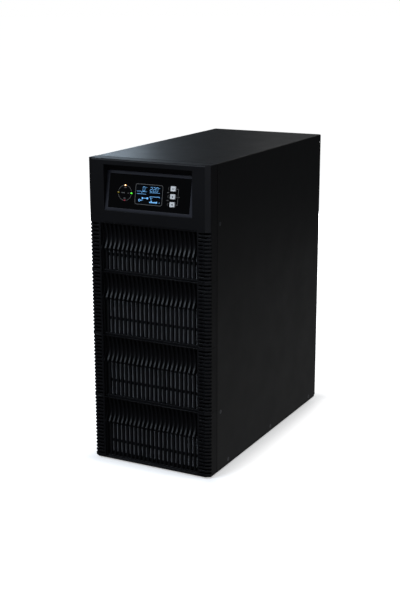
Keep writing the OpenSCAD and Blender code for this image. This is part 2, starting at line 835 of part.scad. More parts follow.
// A lead-acid block: case, lid with a stepped edge, and two tab terminals at its front end
module battery_block() {
    slab(batt_w, 0, batt_l, 0, batt_h - lid_h);
    slab(batt_w - 2, 1, batt_l - 1, batt_h - lid_h - 0.1, batt_h);
    for (x = [-1, 1]) translate([x * (batt_w / 2 - tab_in), 0, batt_h - 0.1]) {
        slab(tab_w, 6, 20, 0, 1.6);
        slab(0.8, 9.8, 16.2, 1, tab_h + 0.1);
    }
}

// A strapped row of three blocks, number n from the bottom front
module battery_row(n) {
    level = floor(n / 2);
    back = n % 2;
    color([0.45, 0.46, 0.48]) place()
        translate([0, batt_y + back * (batt_l + batt_gap), tray_top + level * level_pitch])
            for (i = [-1:1]) translate([i * (batt_w + batt_gap), 0, 0]) battery_block();
}

// Bridges between the tabs of neighbouring blocks in every row
module battery_links() {
    reach = batt_gap + 2 * tab_in + 2.4;
    color("firebrick") place() for (n = [0:2 * levels - 1], s = [-1, 1])
        translate([s * (batt_w + batt_gap) / 2, batt_y + (n % 2) * (batt_l + batt_gap),
            tray_top + floor(n / 2) * level_pitch + batt_h + tab_h])
            slab(reach, 10, 16, 0, 1.2);
}

module power_board() {
    color("darkgreen") place() slab(board_w, power_y, power_y + board_l, power_board_z, power_top);
}

module board_standoffs() {
    color("silver") place() for (x = [-1, 1], y = [board_edge, board_l / 2, board_l - board_edge])
        translate([x * (board_x - 8), power_y + y, deck_z]) cylinder(r = 4, h = standoff_h, $fn = 6);
}

// A finned heat sink, standing on the board along Y
module heatsink(side) {
    len = board_l - sink_start - 20;
    gap = (sink_w - fin_t) / (fins - 1);
    x = side * (board_x - sink_w / 2 - sink_edge);
    color([0.72, 0.73, 0.75]) place() translate([x, power_y + sink_start, power_top]) {
        slab(sink_w, 0, len, sink_h / 2 - 3, sink_h / 2 + 3);
        for (i = [0:fins - 1]) translate([(i - (fins - 1) / 2) * gap, 0, 0]) slab(fin_t, 0, len, 0, sink_h);
    }
}

module left_heatsink() heatsink(-1);

module right_heatsink() heatsink(1);

// Power transistors clamped to the inner fin of each heat sink
module power_transistors() {
    face = board_x - sink_w - sink_edge;
    color([0.12, 0.12, 0.12]) place() for (side = [-1, 1], i = [0:5])
        translate([side * (face - 2.5), power_y + sink_start + 20 + i * transistor_pitch, power_top]) {
            slab(5, 0, 16, 12, 33);
            for (y = [2.5, 8, 13.5]) slab(1.2, y - 0.6, y + 0.6, 0, 12.1);
        }
}

module bus_capacitors() {
    pitch = 2 * cap_r + 3;
    color([0.1, 0.12, 0.3]) place() for (x = [-1, 1], i = [0:2])
        translate([x * pitch / 2, power_y + 200 + i * pitch, power_top]) {
            cylinder(r = cap_r, h = cap_h);
            cylinder(r = cap_r + 0.6, h = 4);
        }
}

// Wound ring chokes, each lying on its base
module filter_chokes() {
    ring = 20;
    wind = 9;
    color([0.72, 0.42, 0.2]) place() for (i = [0:1])
        translate([0, power_y + 82 + i * (2 * (ring + wind) + 4), power_top]) {
            translate([0, 0, wind + 2]) rotate_extrude() translate([ring, 0]) circle(r = wind);
            cylinder(r = ring, h = 4.5);
        }
}

module transfer_relays() {
    color([0.1, 0.1, 0.1]) place() for (i = [-2:2])
        translate([i * 32, power_y + 30, power_top]) slab(27, 0, 22, 0, 26);
}

// Upright logic board with its edge connector
module control_board() {
    tall = min(95, power_h - standoff_h - board_t - 12);
    color("darkgreen") place() translate([0, power_y + 12, power_top]) {
        slab(board_w - 40, 0, board_t, 0.5, tall);
        slab(board_w - 70, -3, board_t + 3, 0, 9);
        for (x = [-50, 0, 44]) translate([x, 0, 45]) slab(18, board_t - 0.1, board_t + 3, -9, 9);
    }
}

// Square fan frame with its round duct, screw holes, motor seat and four struts
module fan_frame(side) {
    half = fan_size / 2;
    color([0.08, 0.08, 0.08]) place() translate([side * fan_spacing / 2, 0, fan_z]) {
        difference() {
            slab(fan_size, fan_front, panel_in, -half, half);
            rod_y(fan_bore, fan_front - 1, panel_in + 1);
            fan_corners() rod_y(screw_r + screw_gap, fan_front - 1, panel_in + 1);
        }
        rod_y(hub_r, fan_front, fan_front + 4);
        rod_y(shaft_r, fan_front + 3.9, panel_in - 4);
        for (a = [0:90:270]) rotate([0, a + 45, 0])
            translate([hub_r - 1, fan_front, -2]) cube([fan_bore - hub_r + 2, 3.5, 4]);
    }
}

module left_fan_frame() fan_frame(-1);

module right_fan_frame() fan_frame(1);

// Fan rotor: hub with its bearing bore and seven pitched blades
module fan_rotor(side) {
    y0 = fan_front + 4.5;
    y1 = panel_in - 2.5;
    color([0.12, 0.12, 0.13]) place() translate([side * fan_spacing / 2, 0, fan_z]) difference() {
        union() {
            rod_y(hub_r - 0.5, y0, y1);
            intersection() {
                rod_y(blade_r, y0 + 0.5, y1 - 0.5);
                for (a = [0:360 / blades:359]) rotate([0, a, 0])
                    translate([hub_r - 2, (y0 + y1) / 2, 0]) rotate([blade_pitch, 0, 0])
                        translate([0, -fan_d, -blade_t / 2]) cube([blade_r, 2 * fan_d, blade_t]);
            }
        }
        rod_y(shaft_r + run_gap, y0 - 1, panel_in - 3.5);
    }
}

module left_fan_rotor() fan_rotor(-1);

module right_fan_rotor() fan_rotor(1);

// Wire finger guards: rings, two crossed wires and an eye at each screw
module fan_guards() {
    eye_r = 4.6;
    arm = fan_hole_pitch * sqrt(2) / 2;
    color("silver") place() at_fans() difference() {
        union() {
            for (r = [9:8.2:fan_bore]) translate([0, guard_y, 0]) rotate([90, 0, 0])
                rotate_extrude() translate([r, 0]) circle(r = wire_r, $fn = 24);
            for (a = [0:90:270]) rotate([0, a + 45, 0]) translate([7, guard_y + wire_r, 0])
                rotate([0, 90, 0]) cylinder(r = wire_r, h = arm - eye_r + 0.5 - 7, $fn = 24);
            fan_corners() rod_y(eye_r, panel_out, panel_out + 1.5);
        }
        fan_corners() rod_y(screw_r + screw_gap, panel_out - 1, panel_out + 6);
    }
}

module fan_screws() {
    color("silver") place() at_fans() fan_corners() translate([0, panel_out + 1.5, 0]) pan_screw(14);
}

module at_breaker() translate([breaker_x, 0, breaker_z]) children();

// Two-pole breaker: body behind the panel, nose through it, and the lever's pivot pin
module breaker_body() {
    pocket_w = lever_w + lever_gap;
    color([0.85, 0.85, 0.84]) place() at_breaker() {
        difference() {
            union() {
                slab(breaker_w, panel_in - breaker_d, panel_in, -breaker_h / 2, breaker_h / 2);
                slab(breaker_w, panel_in - 1, panel_out + nose_out, -nose_h / 2, nose_h / 2);
            }
            slab(pocket_w, lever_y - lever_r - 0.5, panel_out + nose_out + 1,
                -lever_r * 1.6, lever_r * 1.6);
        }
        translate([-pocket_w / 2 - 1, lever_y, 0]) rotate([0, 90, 0])
            cylinder(r = stud_r, h = pocket_w + 2);
    }
}

// The breaker's tie-barred lever, drawn in its upper position
module breaker_lever() {
    color([0.1, 0.1, 0.1]) place() at_breaker() translate([0, lever_y, 0]) difference() {
        union() {
            translate([-lever_w / 2, 0, 0]) rotate([0, 90, 0]) cylinder(r = lever_r, h = lever_w);
            rotate([lever_on, 0, 0]) slab(lever_w - 2, stud_r + 2, lever_len, -2, 2);
        }
        translate([-lever_w / 2 - 1, 0, 0]) rotate([0, 90, 0])
            cylinder(r = stud_r + run_gap, h = lever_w + 2);
    }
}

// Barrier strip behind the panel's window: base, ribs and one screw in each pole
module terminal_strip() {
    pole = (window_w - 4) / poles;
    base_y = panel_in - strip_d;
    color([0.1, 0.1, 0.1]) place() translate([0, 0, terminal_z]) {
        slab(window_w - 2, base_y, base_y + 12, -strip_h / 2, strip_h / 2);
        for (i = [0:poles]) translate([(i - poles / 2) * pole, 0, 0])
            slab(2, base_y + 11, panel_in - 1, -strip_h / 2, strip_h / 2);
        for (x = [-1, 1]) translate([x * (window_w / 2 + 6), 0, 0])
            slab(14.2, base_y, panel_in, -strip_h / 2, strip_h / 2);
    }
    color("silver") place() for (i = [0:poles - 1])
        translate([(i - (poles - 1) / 2) * pole, base_y + 12, terminal_z]) {
            slab(pole - 5, 0, 1.5, -10, 10);
            rod_y(4, 1.4, 4);
        }
}

module terminal_cover() {
    color([0.12, 0.12, 0.13]) place() difference() {
        translate([0, 0, terminal_z])
            slab(terminal_w, panel_out, panel_out + chassis_t, -terminal_h / 2, terminal_h / 2);
        at_panel_screws() rod_y(screw_r + screw_gap, -1, chassis_t + 1);
    }
}

module panel_screws() {
    color("silver") place() at_panel_screws() translate([0, chassis_t, 0]) pan_screw(8);
}

module slot_cover() {
    color([0.12, 0.12, 0.13]) place() difference() {
        translate([slot_x, 0, signal_z])
            slab(slot_plate_w, panel_out, panel_out + chassis_t, -slot_plate_h / 2, slot_plate_h / 2);
        at_panel_screws() rod_y(screw_r + screw_gap, -1, chassis_t + 1);
    }
}

// The square data socket and the nine-way serial socket
module signal_ports() {
    color("silver") place() translate([usb_x, 0, signal_z]) difference() {
        slab(usb_w, panel_in - 14, panel_out + 1, -usb_w / 2, usb_w / 2);
        slab(usb_w - 3, panel_out - 8, panel_out + 2, -usb_w * 0.35, usb_w * 0.35);
    }
    color("silver") place() translate([serial_x, 0, signal_z]) {
        slab(serial_w, panel_in - 10, panel_out + 0.5, -serial_h / 2, serial_h / 2);
        slab(12.5, panel_out, panel_out + 0.8, -15.4, 15.4);
        difference() {
            slab(8, panel_out + 0.5, panel_out + 6, -8.5, 8.5);
            slab(7, panel_out + 1.5, panel_out + 7, -8, 8);
        }
    }
}

// Two-pole socket for an outside battery cabinet
module battery_socket() {
    color([0.45, 0.06, 0.05]) place() translate([socket_x, 0, breaker_z]) difference() {
        union() {
            slab(socket_w, panel_in - 30, panel_out + socket_out, -socket_h / 2, socket_h / 2);
            slab(socket_w + 12, panel_in - 3, panel_in, -socket_h / 2, socket_h / 2);
        }
        for (x = [-1, 1]) translate([x * socket_w / 4, 0, 0])
            slab(socket_hole, panel_in - 20, panel_out + socket_out + 1,
                -socket_h / 2 + socket_wall, socket_h / 2 - socket_wall);
    }
}

// Two cable glands: lock nut inside, hexagon flange and domed cap outside
module cable_glands() {
    color([0.15, 0.15, 0.15]) place() for (x = [-1, 1]) translate([x * gland_x, 0, gland_z]) difference() {
        union() {
            rod_y(gland_thread_r, panel_in - gland_in, panel_out + 0.1);
            translate([0, panel_in - nut_h, 0]) rotate([-90, 0, 0])
                cylinder(r = gland_nut_r, h = nut_h, $fn = 6);
            translate([0, panel_out, 0]) rotate([-90, 0, 0])
                cylinder(r = gland_nut_r, h = nut_h, $fn = 6);
            rod_y(gland_body_r, panel_out + nut_h - 0.1, panel_out + gland_out);
        }
        rod_y(gland_r, panel_in - gland_in - 1, panel_out + gland_out + 1);
    }
}

module earth_stud() {
    color("goldenrod") place() translate([earth_x, 0, gland_z]) {
        rod_y(stud_r, panel_in - 5, panel_out + stud_len);
        translate([0, panel_in - nut_h, 0]) rotate([-90, 0, 0]) cylinder(r = 2 * stud_r, h = nut_h, $fn = 6);
        translate([0, panel_out, 0]) rotate([-90, 0, 0]) cylinder(r = 2 * stud_r, h = nut_h, $fn = 6);
    }
}

base_tray();
rubber_feet();
cabinet_cover();
cover_screws();
front_frame();
rear_panel();
display_bezel();
upper_grille();
middle_grille();
lower_grille();
filter_frame();
dust_filter();
display_frame();
display_panel();
screen_module();
display_board();
key_switches();
lamp_amber();
lamp_yellow();
lamp_green();
lamp_red();
button_up();
button_down();
button_enter();
lower_shelf();
upper_shelf();
power_deck();
battery_bars();
battery_row(0);  // battery_row_1
battery_row(1);  // battery_row_2
battery_row(2);  // battery_row_3
battery_row(3);  // battery_row_4
battery_row(4);  // battery_row_5
battery_row(5);  // battery_row_6
battery_links();
power_board();
board_standoffs();
left_heatsink();
right_heatsink();
power_transistors();
bus_capacitors();
filter_chokes();
transfer_relays();
control_board();
left_fan_frame();
right_fan_frame();
left_fan_rotor();
right_fan_rotor();
fan_guards();
fan_screws();
breaker_body();
breaker_lever();
terminal_strip();
terminal_cover();
panel_screws();
slot_cover();
signal_ports();
battery_socket();
cable_glands();
earth_stud();
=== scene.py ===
"""A tower uninterruptible power supply: finishes for its CAD nodes, and the pieces that carry its looks."""
import json
import math

import bmesh
import bpy
import numpy as np
from mathutils import Matrix, Vector


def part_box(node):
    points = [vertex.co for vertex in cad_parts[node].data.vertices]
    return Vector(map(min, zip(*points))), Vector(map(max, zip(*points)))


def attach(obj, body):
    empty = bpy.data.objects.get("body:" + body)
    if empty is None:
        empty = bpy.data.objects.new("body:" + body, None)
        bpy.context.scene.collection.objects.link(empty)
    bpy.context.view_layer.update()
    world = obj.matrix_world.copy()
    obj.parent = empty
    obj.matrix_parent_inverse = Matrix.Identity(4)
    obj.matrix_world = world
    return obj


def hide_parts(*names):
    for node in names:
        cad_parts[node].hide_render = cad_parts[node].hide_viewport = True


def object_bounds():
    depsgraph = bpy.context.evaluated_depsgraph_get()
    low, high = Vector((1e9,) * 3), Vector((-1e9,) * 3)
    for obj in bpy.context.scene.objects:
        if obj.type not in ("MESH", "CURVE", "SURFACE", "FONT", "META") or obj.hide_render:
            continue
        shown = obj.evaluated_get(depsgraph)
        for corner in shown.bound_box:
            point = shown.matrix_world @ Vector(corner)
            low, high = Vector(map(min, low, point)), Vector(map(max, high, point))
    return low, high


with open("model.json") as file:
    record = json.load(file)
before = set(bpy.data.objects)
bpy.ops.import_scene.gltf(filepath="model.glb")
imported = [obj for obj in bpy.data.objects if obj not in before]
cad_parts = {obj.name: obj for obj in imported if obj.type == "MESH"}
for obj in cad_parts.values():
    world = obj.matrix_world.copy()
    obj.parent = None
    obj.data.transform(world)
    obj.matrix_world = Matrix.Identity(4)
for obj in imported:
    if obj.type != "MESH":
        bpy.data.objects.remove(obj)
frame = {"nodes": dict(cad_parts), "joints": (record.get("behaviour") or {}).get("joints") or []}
CAD_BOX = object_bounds()

bl_info = {
    "name": "Tower Power Supply",
    "version": (1, 0, 0),
    "blender": (4, 5, 0),
    "location": "View3D > Sidebar > Power Supply",
    "description": "Finishes and detail pieces for a tower uninterruptible power supply",
    "category": "Object",
}

MM = 0.001
HOME = "cabinet"
CAMERA_PLACE = (1.0316, -2.0372, 0.8694)

# Each light: place, target and size in metres, power in watts, colour.
NEUTRAL = (1.0, 1.0, 1.0)
LIGHTS = {
    "front_high": ((-1.15, -1.9, 2.35), (0, -0.2, 0.35), (1.5, 1.2), 52.0, (0.78, 0.88, 1.0)),
    "rear_left": ((-1.22, 1.3, 1.0), (-0.5, -0.2, 0.62), (0.5, 0.6), 2.6, (0.70, 0.85, 1.0)),
    "rear_high": ((-0.1, 1.7, 1.2), (0.0, 0.15, 0.58), (1.2, 0.4), 0.7, NEUTRAL),
    "rear_fill": ((-0.62, 2.4, 0.32), (-0.1, 0.25, 0.32), (1.2, 0.45), 42.0, NEUTRAL),
    "front_right": ((1.9, -2.6, 0.8), (0.1, -0.2, 0.3), (1.8, 1.6), 15.0, (0.8, 0.87, 1.0)),
    "overhead": ((0.75, -0.03, 2.45), (0.118, -0.25, 0.575), (0.35, 0.35), 9.0, NEUTRAL),
    "floor_bounce": ((0.435, 0.6, 0.004), (0.435, 0.6, 1.0), (0.62, 2.8), 0.72, NEUTRAL),
}


# ---------------------------------------------------------------- places

def joint(name):
    """The frame's joint of that name."""
    return next(j for j in frame["joints"] if j["name"] == name)


def corners(node):
    """Lowest and highest corner of a node as numpy arrays."""
    lo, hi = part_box(node)
    return np.array(lo), np.array(hi)


class DisplayPlane:
    """The front of the dark panel: X across, w up its slope from its lower edge, out towards the viewer."""

    def __init__(self):
        inward = np.array(joint("button_up_press")["axis"], float)
        self.normal = -inward / np.linalg.norm(inward)
        self.up = np.cross(np.array([1.0, 0.0, 0.0]), inward)
        self.up *= np.sign(self.up[2])
        lo, hi = corners("display_panel")
        c, s = self.up[2], self.up[1]
        deep, high = (hi - lo)[1:]
        thick = (deep * c - high * s) / (c * c - s * s)
        self.foot = np.array([0.0, lo[1], lo[2] + thick * s])

    def at(self, x, w, out=0.0):
        """Points of the plane for whole arrays of x, w and out, in metres."""
        x, w, out = np.broadcast_arrays(np.asarray(x, float), np.asarray(w, float), np.asarray(out, float))
        return (self.foot + x[..., None] * np.array([1.0, 0.0, 0.0])
                + w[..., None] * self.up + out[..., None] * self.normal)

    def find(self, node):
        """(x, w) of a node's middle on the plane."""
        lo, hi = corners(node)
        rel = (lo + hi) / 2 - self.foot
        return rel[0], rel @ self.up


# ---------------------------------------------------------------- meshes

def linear(text):
    """sRGB hex text to linear RGBA."""
    srgb = np.array([int(text[i:i + 2], 16) for i in (1, 3, 5)]) / 255.0
    rgb = np.where(srgb <= 0.04045, srgb / 12.92, ((srgb + 0.055) / 1.055) ** 2.4)
    return (*(float(v) for v in rgb), 1.0)


def piece(name, points, faces, material, body=HOME, smooth=None, slot=None):
    """A mesh object from an array of points and a list of faces, at the origin, riding on a body.

    smooth is the angle in degrees past which an edge stays sharp; None leaves every face flat.
    """
    mesh = bpy.data.meshes.new(name)
    mesh.from_pydata(np.asarray(points, float).reshape(-1, 3).tolist(), [],
                     [list(map(int, face)) for face in faces])
    mesh.validate()
    if smooth is not None:
        mesh.polygons.foreach_set("use_smooth", np.ones(len(mesh.polygons), bool))
        mesh.set_sharp_from_angle(angle=math.radians(smooth))
    obj = bpy.data.objects.new(name, mesh)
    bpy.context.scene.collection.objects.link(obj)
    mesh.materials.append(material)
    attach(obj, body)
    return obj


def grid_faces(rows, cols, wrap_rows=False, wrap_cols=True, start=0):
    """Quads of a grid of rows by cols points stored row by row, joined at its ends where it wraps."""
    r = np.arange(rows if wrap_rows else rows - 1)
    c = np.arange(cols if wrap_cols else cols - 1)
    r, c = np.meshgrid(r, c, indexing="ij")
    r2, c2 = (r + 1) % rows, (c + 1) % cols
    quads = np.stack([r * cols + c, r * cols + c2, r2 * cols + c2, r2 * cols + c], -1)
    return (quads.reshape(-1, 4) + start).tolist()


def superellipse(count, a, b, power):
    """Outline |x/a|^power + |w/b|^power = 1, sampled evenly in its angle: arrays of x and w."""
    t = np.linspace(0, 2 * np.pi, count, endpoint=False)
    c, s = np.cos(t), np.sin(t)
    return a * np.sign(c) * np.abs(c) ** (2 / power), b * np.sign(s) * np.abs(s) ** (2 / power)


def cushion(place, x, w, a, b, power, profile, count=64):
    """A closed button shape: a superellipse outline shrunk by profile's inset and raised by its height.

    profile is a list of (inset, out); its first and last rings are closed with a point in their middle.
    """
    rings = [place(x + px, w + pw, out) for inset, out in profile
             for px, pw in [superellipse(count, a - inset, b - inset, power)]]
    points = np.concatenate(rings + [place(x, w, profile[0][1])[None], place(x, w, profile[-1][1])[None]])
    n = len(profile)
    faces = grid_faces(n, count)
    first, last = n * count, n * count + 1
    k = np.arange(count)
    faces += np.stack([(k + 1) % count, k, np.full(count, first)], -1).tolist()
    top = (n - 1) * count
    faces += np.stack([top + k, top + (k + 1) % count, np.full(count, last)], -1).tolist()
    return points, faces


def ribbon(path, width, closed=False):
    """A flat strip of that width along a path of (x, w) points, mitred at its bends: points and faces."""
    p = np.asarray(path, float)
    if closed:
        before, after = np.roll(p, 1, 0), np.roll(p, -1, 0)
    else:
        before = np.vstack([2 * p[0] - p[1], p[:-1]])
        after = np.vstack([p[1:], 2 * p[-1] - p[-2]])
    d1 = (p - before) / np.linalg.norm(p - before, axis=1)[:, None]
    d2 = (after - p) / np.linalg.norm(after - p, axis=1)[:, None]
    n1 = np.stack([-d1[:, 1], d1[:, 0]], -1)
    n2 = np.stack([-d2[:, 1], d2[:, 0]], -1)
    m = n1 + n2
    m /= np.maximum((m * n1).sum(1), 0.3)[:, None]
    points = np.stack([p - m * width / 2, p + m * width / 2], 1).reshape(-1, 2)
    faces = grid_faces(len(p), 2, wrap_rows=closed, wrap_cols=False)
    return points, faces


def rounded_box_path(x0, w0, x1, w1, r, steps=6):
    """The outline of a rectangle with round corners, anticlockwise."""
    path = []
    corner_arcs = ((x1 - r, w0 + r, -90), (x1 - r, w1 - r, 0), (x0 + r, w1 - r, 90), (x0 + r, w0 + r, 180))
    for cx, cw, a0 in corner_arcs:
        for k in range(steps + 1):
            a = math.radians(a0 + 90 * k / steps)
            path.append((cx + r * math.cos(a), cw + r * math.sin(a)))
    return path


def arc_path(x, w, r, a0, a1, steps):
    """Points on a circle from angle a0 to a1, in degrees."""
    t = np.radians(np.linspace(a0, a1, steps + 1))
    return np.stack([x + r * np.cos(t), w + r * np.sin(t)], -1)


def swept(path, section):
    """A closed bar: a section of (side, height) points carried level along a path of (x, y) points.

    Point (i, k) = path[i] + side[k] * n[i] at height[k], where n[i] is the mitred normal of the path.
    """
    p, q = np.asarray(path, float), np.asarray(section, float)
    way = np.gradient(p, axis=0)
    way /= np.linalg.norm(way, axis=1)[:, None]
    normal = np.stack([-way[:, 1], way[:, 0]], -1)
    flat = p[:, None] + normal[:, None] * q[None, :, :1]
    high = np.broadcast_to(q[None, :, 1:], (*flat.shape[:2], 1))
    points = np.concatenate([flat, high], -1).reshape(-1, 3)
    n = len(q)
    faces = grid_faces(len(p), n)
    last = (len(p) - 1) * n
    return points, faces + [list(range(n))[::-1], [last + k for k in range(n)]]


def woven(lo, hi, pitch, wire):
    """A plain weave in the XZ plane between two corners: threads of triangular section, one bend a crossing.

    Thread i of one set runs along Z at x_i, and at crossing j its y = middle + wire / 2 * (-1) ** (i + j);
    the other set runs along X with the opposite sign.
    """
    mid = (lo[1] + hi[1]) / 2
    xs = np.arange(lo[0] + pitch / 2, hi[0], pitch)
    zs = np.arange(lo[2] + pitch / 2, hi[2], pitch)
    turn = np.radians([90.0, 210.0, 330.0])
    ring = np.stack([np.cos(turn), np.sin(turn)], -1) * wire / 2
    parts, faces, start = [], [], 0
    for along, across, order in ((zs, xs, (0, 1, 2)), (xs, zs, (2, 1, 0))):
        i, j = np.meshgrid(np.arange(len(across)), np.arange(len(along)), indexing="ij")
        lift = wire / 2 * (-1.0) ** (i + j) * (1 if order[0] == 0 else -1)
        point = np.empty((*i.shape, 3, 3))
        point[..., order[0]] = across[i][..., None] + ring[:, 0]
        point[..., 1] = mid + lift[..., None] + ring[:, 1]
        point[..., order[2]] = along[j][..., None]
        parts.append(point.reshape(-1, 3))
        one = np.array(grid_faces(len(along), 3))
        if order[0] == 2:
            one = one[:, ::-1]
        step = np.arange(len(across))[:, None, None] * len(along) * 3 + start
        faces += (one[None] + step).reshape(-1, 4).tolist()
        start += point.size // 3
    return np.concatenate(parts), faces


class Print:
    """Collects flat marks on the display's plane and turns them into one thin piece."""

    def __init__(self, place, out, thick):
        self.place, self.out, self.thick = place, out, thick
        self.points, self.faces = [], []
        self.count = 0

    def add(self, points, faces):
        """Adds a flat mark and gives it its thickness."""
        flat = np.asarray(points, float)
        n = len(flat)
        both = np.concatenate([self.place(flat[:, 0], flat[:, 1], self.out + self.thick),
                               self.place(flat[:, 0], flat[:, 1], self.out)])
        edges = {}
        for f in faces:
            for a, b in zip(f, f[1:] + f[:1]):
                if (b, a) in edges:
                    del edges[(b, a)]
                else:
                    edges[(a, b)] = True
        base = self.count
        self.faces += [[base + i for i in f] for f in faces]
        self.faces += [[base + n + i for i in reversed(f)] for f in faces]
        self.faces += [[base + b, base + a, base + n + a, base + n + b] for a, b in edges]
        self.points.append(both)
        self.count += 2 * n

    def line(self, path, width, closed=False):
        self.add(*ribbon(path, width, closed))

    def polygon(self, path):
        self.add(path, [list(range(len(path)))])

    def disc(self, x, w, r, steps=24):
        self.polygon(arc_path(x, w, r, 0, 360 * (steps - 1) / steps, steps - 1))

    def box(self, x0, w0, x1, w1):
        self.polygon([(x0, w0), (x1, w0), (x1, w1), (x0, w1)])

    def done(self, name, material, **more):
        return piece(name, np.concatenate(self.points), self.faces, material, **more)


def softened(node, name, material, width, segments=2, body=HOME):
    """A copy of a CAD node with its loose triangles joined and its edges rounded; it replaces the node.

    Edges that turn more than 30 degrees get a round of the given width in metres, and the flat faces
    keep their flat shading.
    """
    mesh = frame["nodes"][node].data.copy()
    mesh.name = name
    work = bmesh.new()
    work.from_mesh(mesh)
    bmesh.ops.remove_doubles(work, verts=work.verts, dist=1e-6)
    bmesh.ops.dissolve_degenerate(work, edges=work.edges, dist=1e-6)
    work.to_mesh(mesh)
    work.free()
    mesh.polygons.foreach_set("use_smooth", np.ones(len(mesh.polygons), bool))
    mesh.set_sharp_from_angle(angle=math.radians(30))
    mesh.materials.clear()
    mesh.materials.append(material)
    obj = bpy.data.objects.new(name, mesh)
    bpy.context.scene.collection.objects.link(obj)
    bevel = obj.modifiers.new("Edge rounds", "BEVEL")
    bevel.width = width
    bevel.segments = segments
    bevel.limit_method = "ANGLE"
    bevel.angle_limit = math.radians(30)
    bevel.use_clamp_overlap = False
    flat = obj.modifiers.new("Flat faces", "WEIGHTED_NORMAL")
    flat.mode = "FACE_AREA"
    flat.weight = 100
    flat.keep_sharp = True
    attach(obj, body)
    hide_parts(node)
    return obj


# ---------------------------------------------------------------- materials

def add(tree, kind, links=None, **settings):
    """Adds a node, sets its properties and inputs, and links inputs to other nodes' outputs."""
    node = tree.nodes.new(kind)
    for key, value in settings.items():
        if hasattr(node, key):
            setattr(node, key, value)
        else:
            node.inputs[key.replace("_", " ")].default_value = value
    for key, source in (links or {}).items():
        tree.links.new(source, node.inputs[key])
    return node


def surface(name):
    """An empty node material with a Principled shader: (material, tree, shader)."""
    material = bpy.data.materials.new(name)
    material.use_nodes = True
    tree = material.node_tree
    tree.nodes.clear()
    shader = tree.nodes.new("ShaderNodeBsdfPrincipled")
    out = tree.nodes.new("ShaderNodeOutputMaterial")
    tree.links.new(shader.outputs["BSDF"], out.inputs["Surface"])
    return material, tree, shader


def grained(name, dark, light, grain, depth, rough,
            spread=0.08, mottle=60.0, metallic=0.0, ior=1.5, gloss=0.5):
    """A finish with a fine surface grain and slow colour and roughness changes.

    grain is the size of one bump in metres, depth its height; mottle is the size of the slow patches
    in millimetres.
    """
    material, tree, shader = surface(name)
    place = add(tree, "ShaderNodeTexCoord").outputs["Object"]
    fine = add(tree, "ShaderNodeTexNoise", {"Vector": place}, Scale=1 / grain, Detail=2.0, Roughness=0.55)
    slow = add(tree, "ShaderNodeTexNoise", {"Vector": place}, Scale=1000 / mottle, Detail=4.0, Roughness=0.6)
    tint = add(tree, "ShaderNodeMix", {"Factor": slow.outputs["Fac"]}, data_type="RGBA")
    tint.inputs["A"].default_value = linear(dark)
    tint.inputs["B"].default_value = linear(light)
    tree.links.new(tint.outputs["Result"], shader.inputs["Base Color"])
    span = add(tree, "ShaderNodeMapRange", {"Value": slow.outputs["Fac"]},
               To_Min=rough - spread, To_Max=rough + spread)
    tree.links.new(span.outputs["Result"], shader.inputs["Roughness"])
    bump = add(tree, "ShaderNodeBump", {"Height": fine.outputs["Fac"]}, Strength=1.0, Distance=depth)
    tree.links.new(bump.outputs["Normal"], shader.inputs["Normal"])
    shader.inputs["Metallic"].default_value = metallic
    shader.inputs["IOR"].default_value = ior
    shader.inputs["Specular IOR Level"].default_value = gloss
    return material


def lit(name, colour, glow, strength, rough=0.25):
    """A glossy plastic that glows by itself: a lit lamp, or painted light on an unlit lens."""
    material, tree, shader = surface(name)
    place = add(tree, "ShaderNodeTexCoord").outputs["Object"]
    slow = add(tree, "ShaderNodeTexNoise", {"Vector": place}, Scale=900.0, Detail=1.0)
    tint = add(tree, "ShaderNodeMix", {"Factor": slow.outputs["Fac"]}, data_type="RGBA")
    base = np.array(linear(colour))
    tint.inputs["A"].default_value = tuple(base * 0.9)
    tint.inputs["B"].default_value = tuple(base)
    tree.links.new(tint.outputs["Result"], shader.inputs["Base Color"])
    shader.inputs["Roughness"].default_value = rough
    shader.inputs["Emission Color"].default_value = linear(glow)
    shader.inputs["Emission Strength"].default_value = strength
    return material


MATERIALS = {}


def finish(name):
    """The material of that name, made the first time that it is asked for."""
    if name not in MATERIALS:
        maker, values, more = FINISHES[name]
        MATERIALS[name] = maker(name, *values, **more)
    return MATERIALS[name]


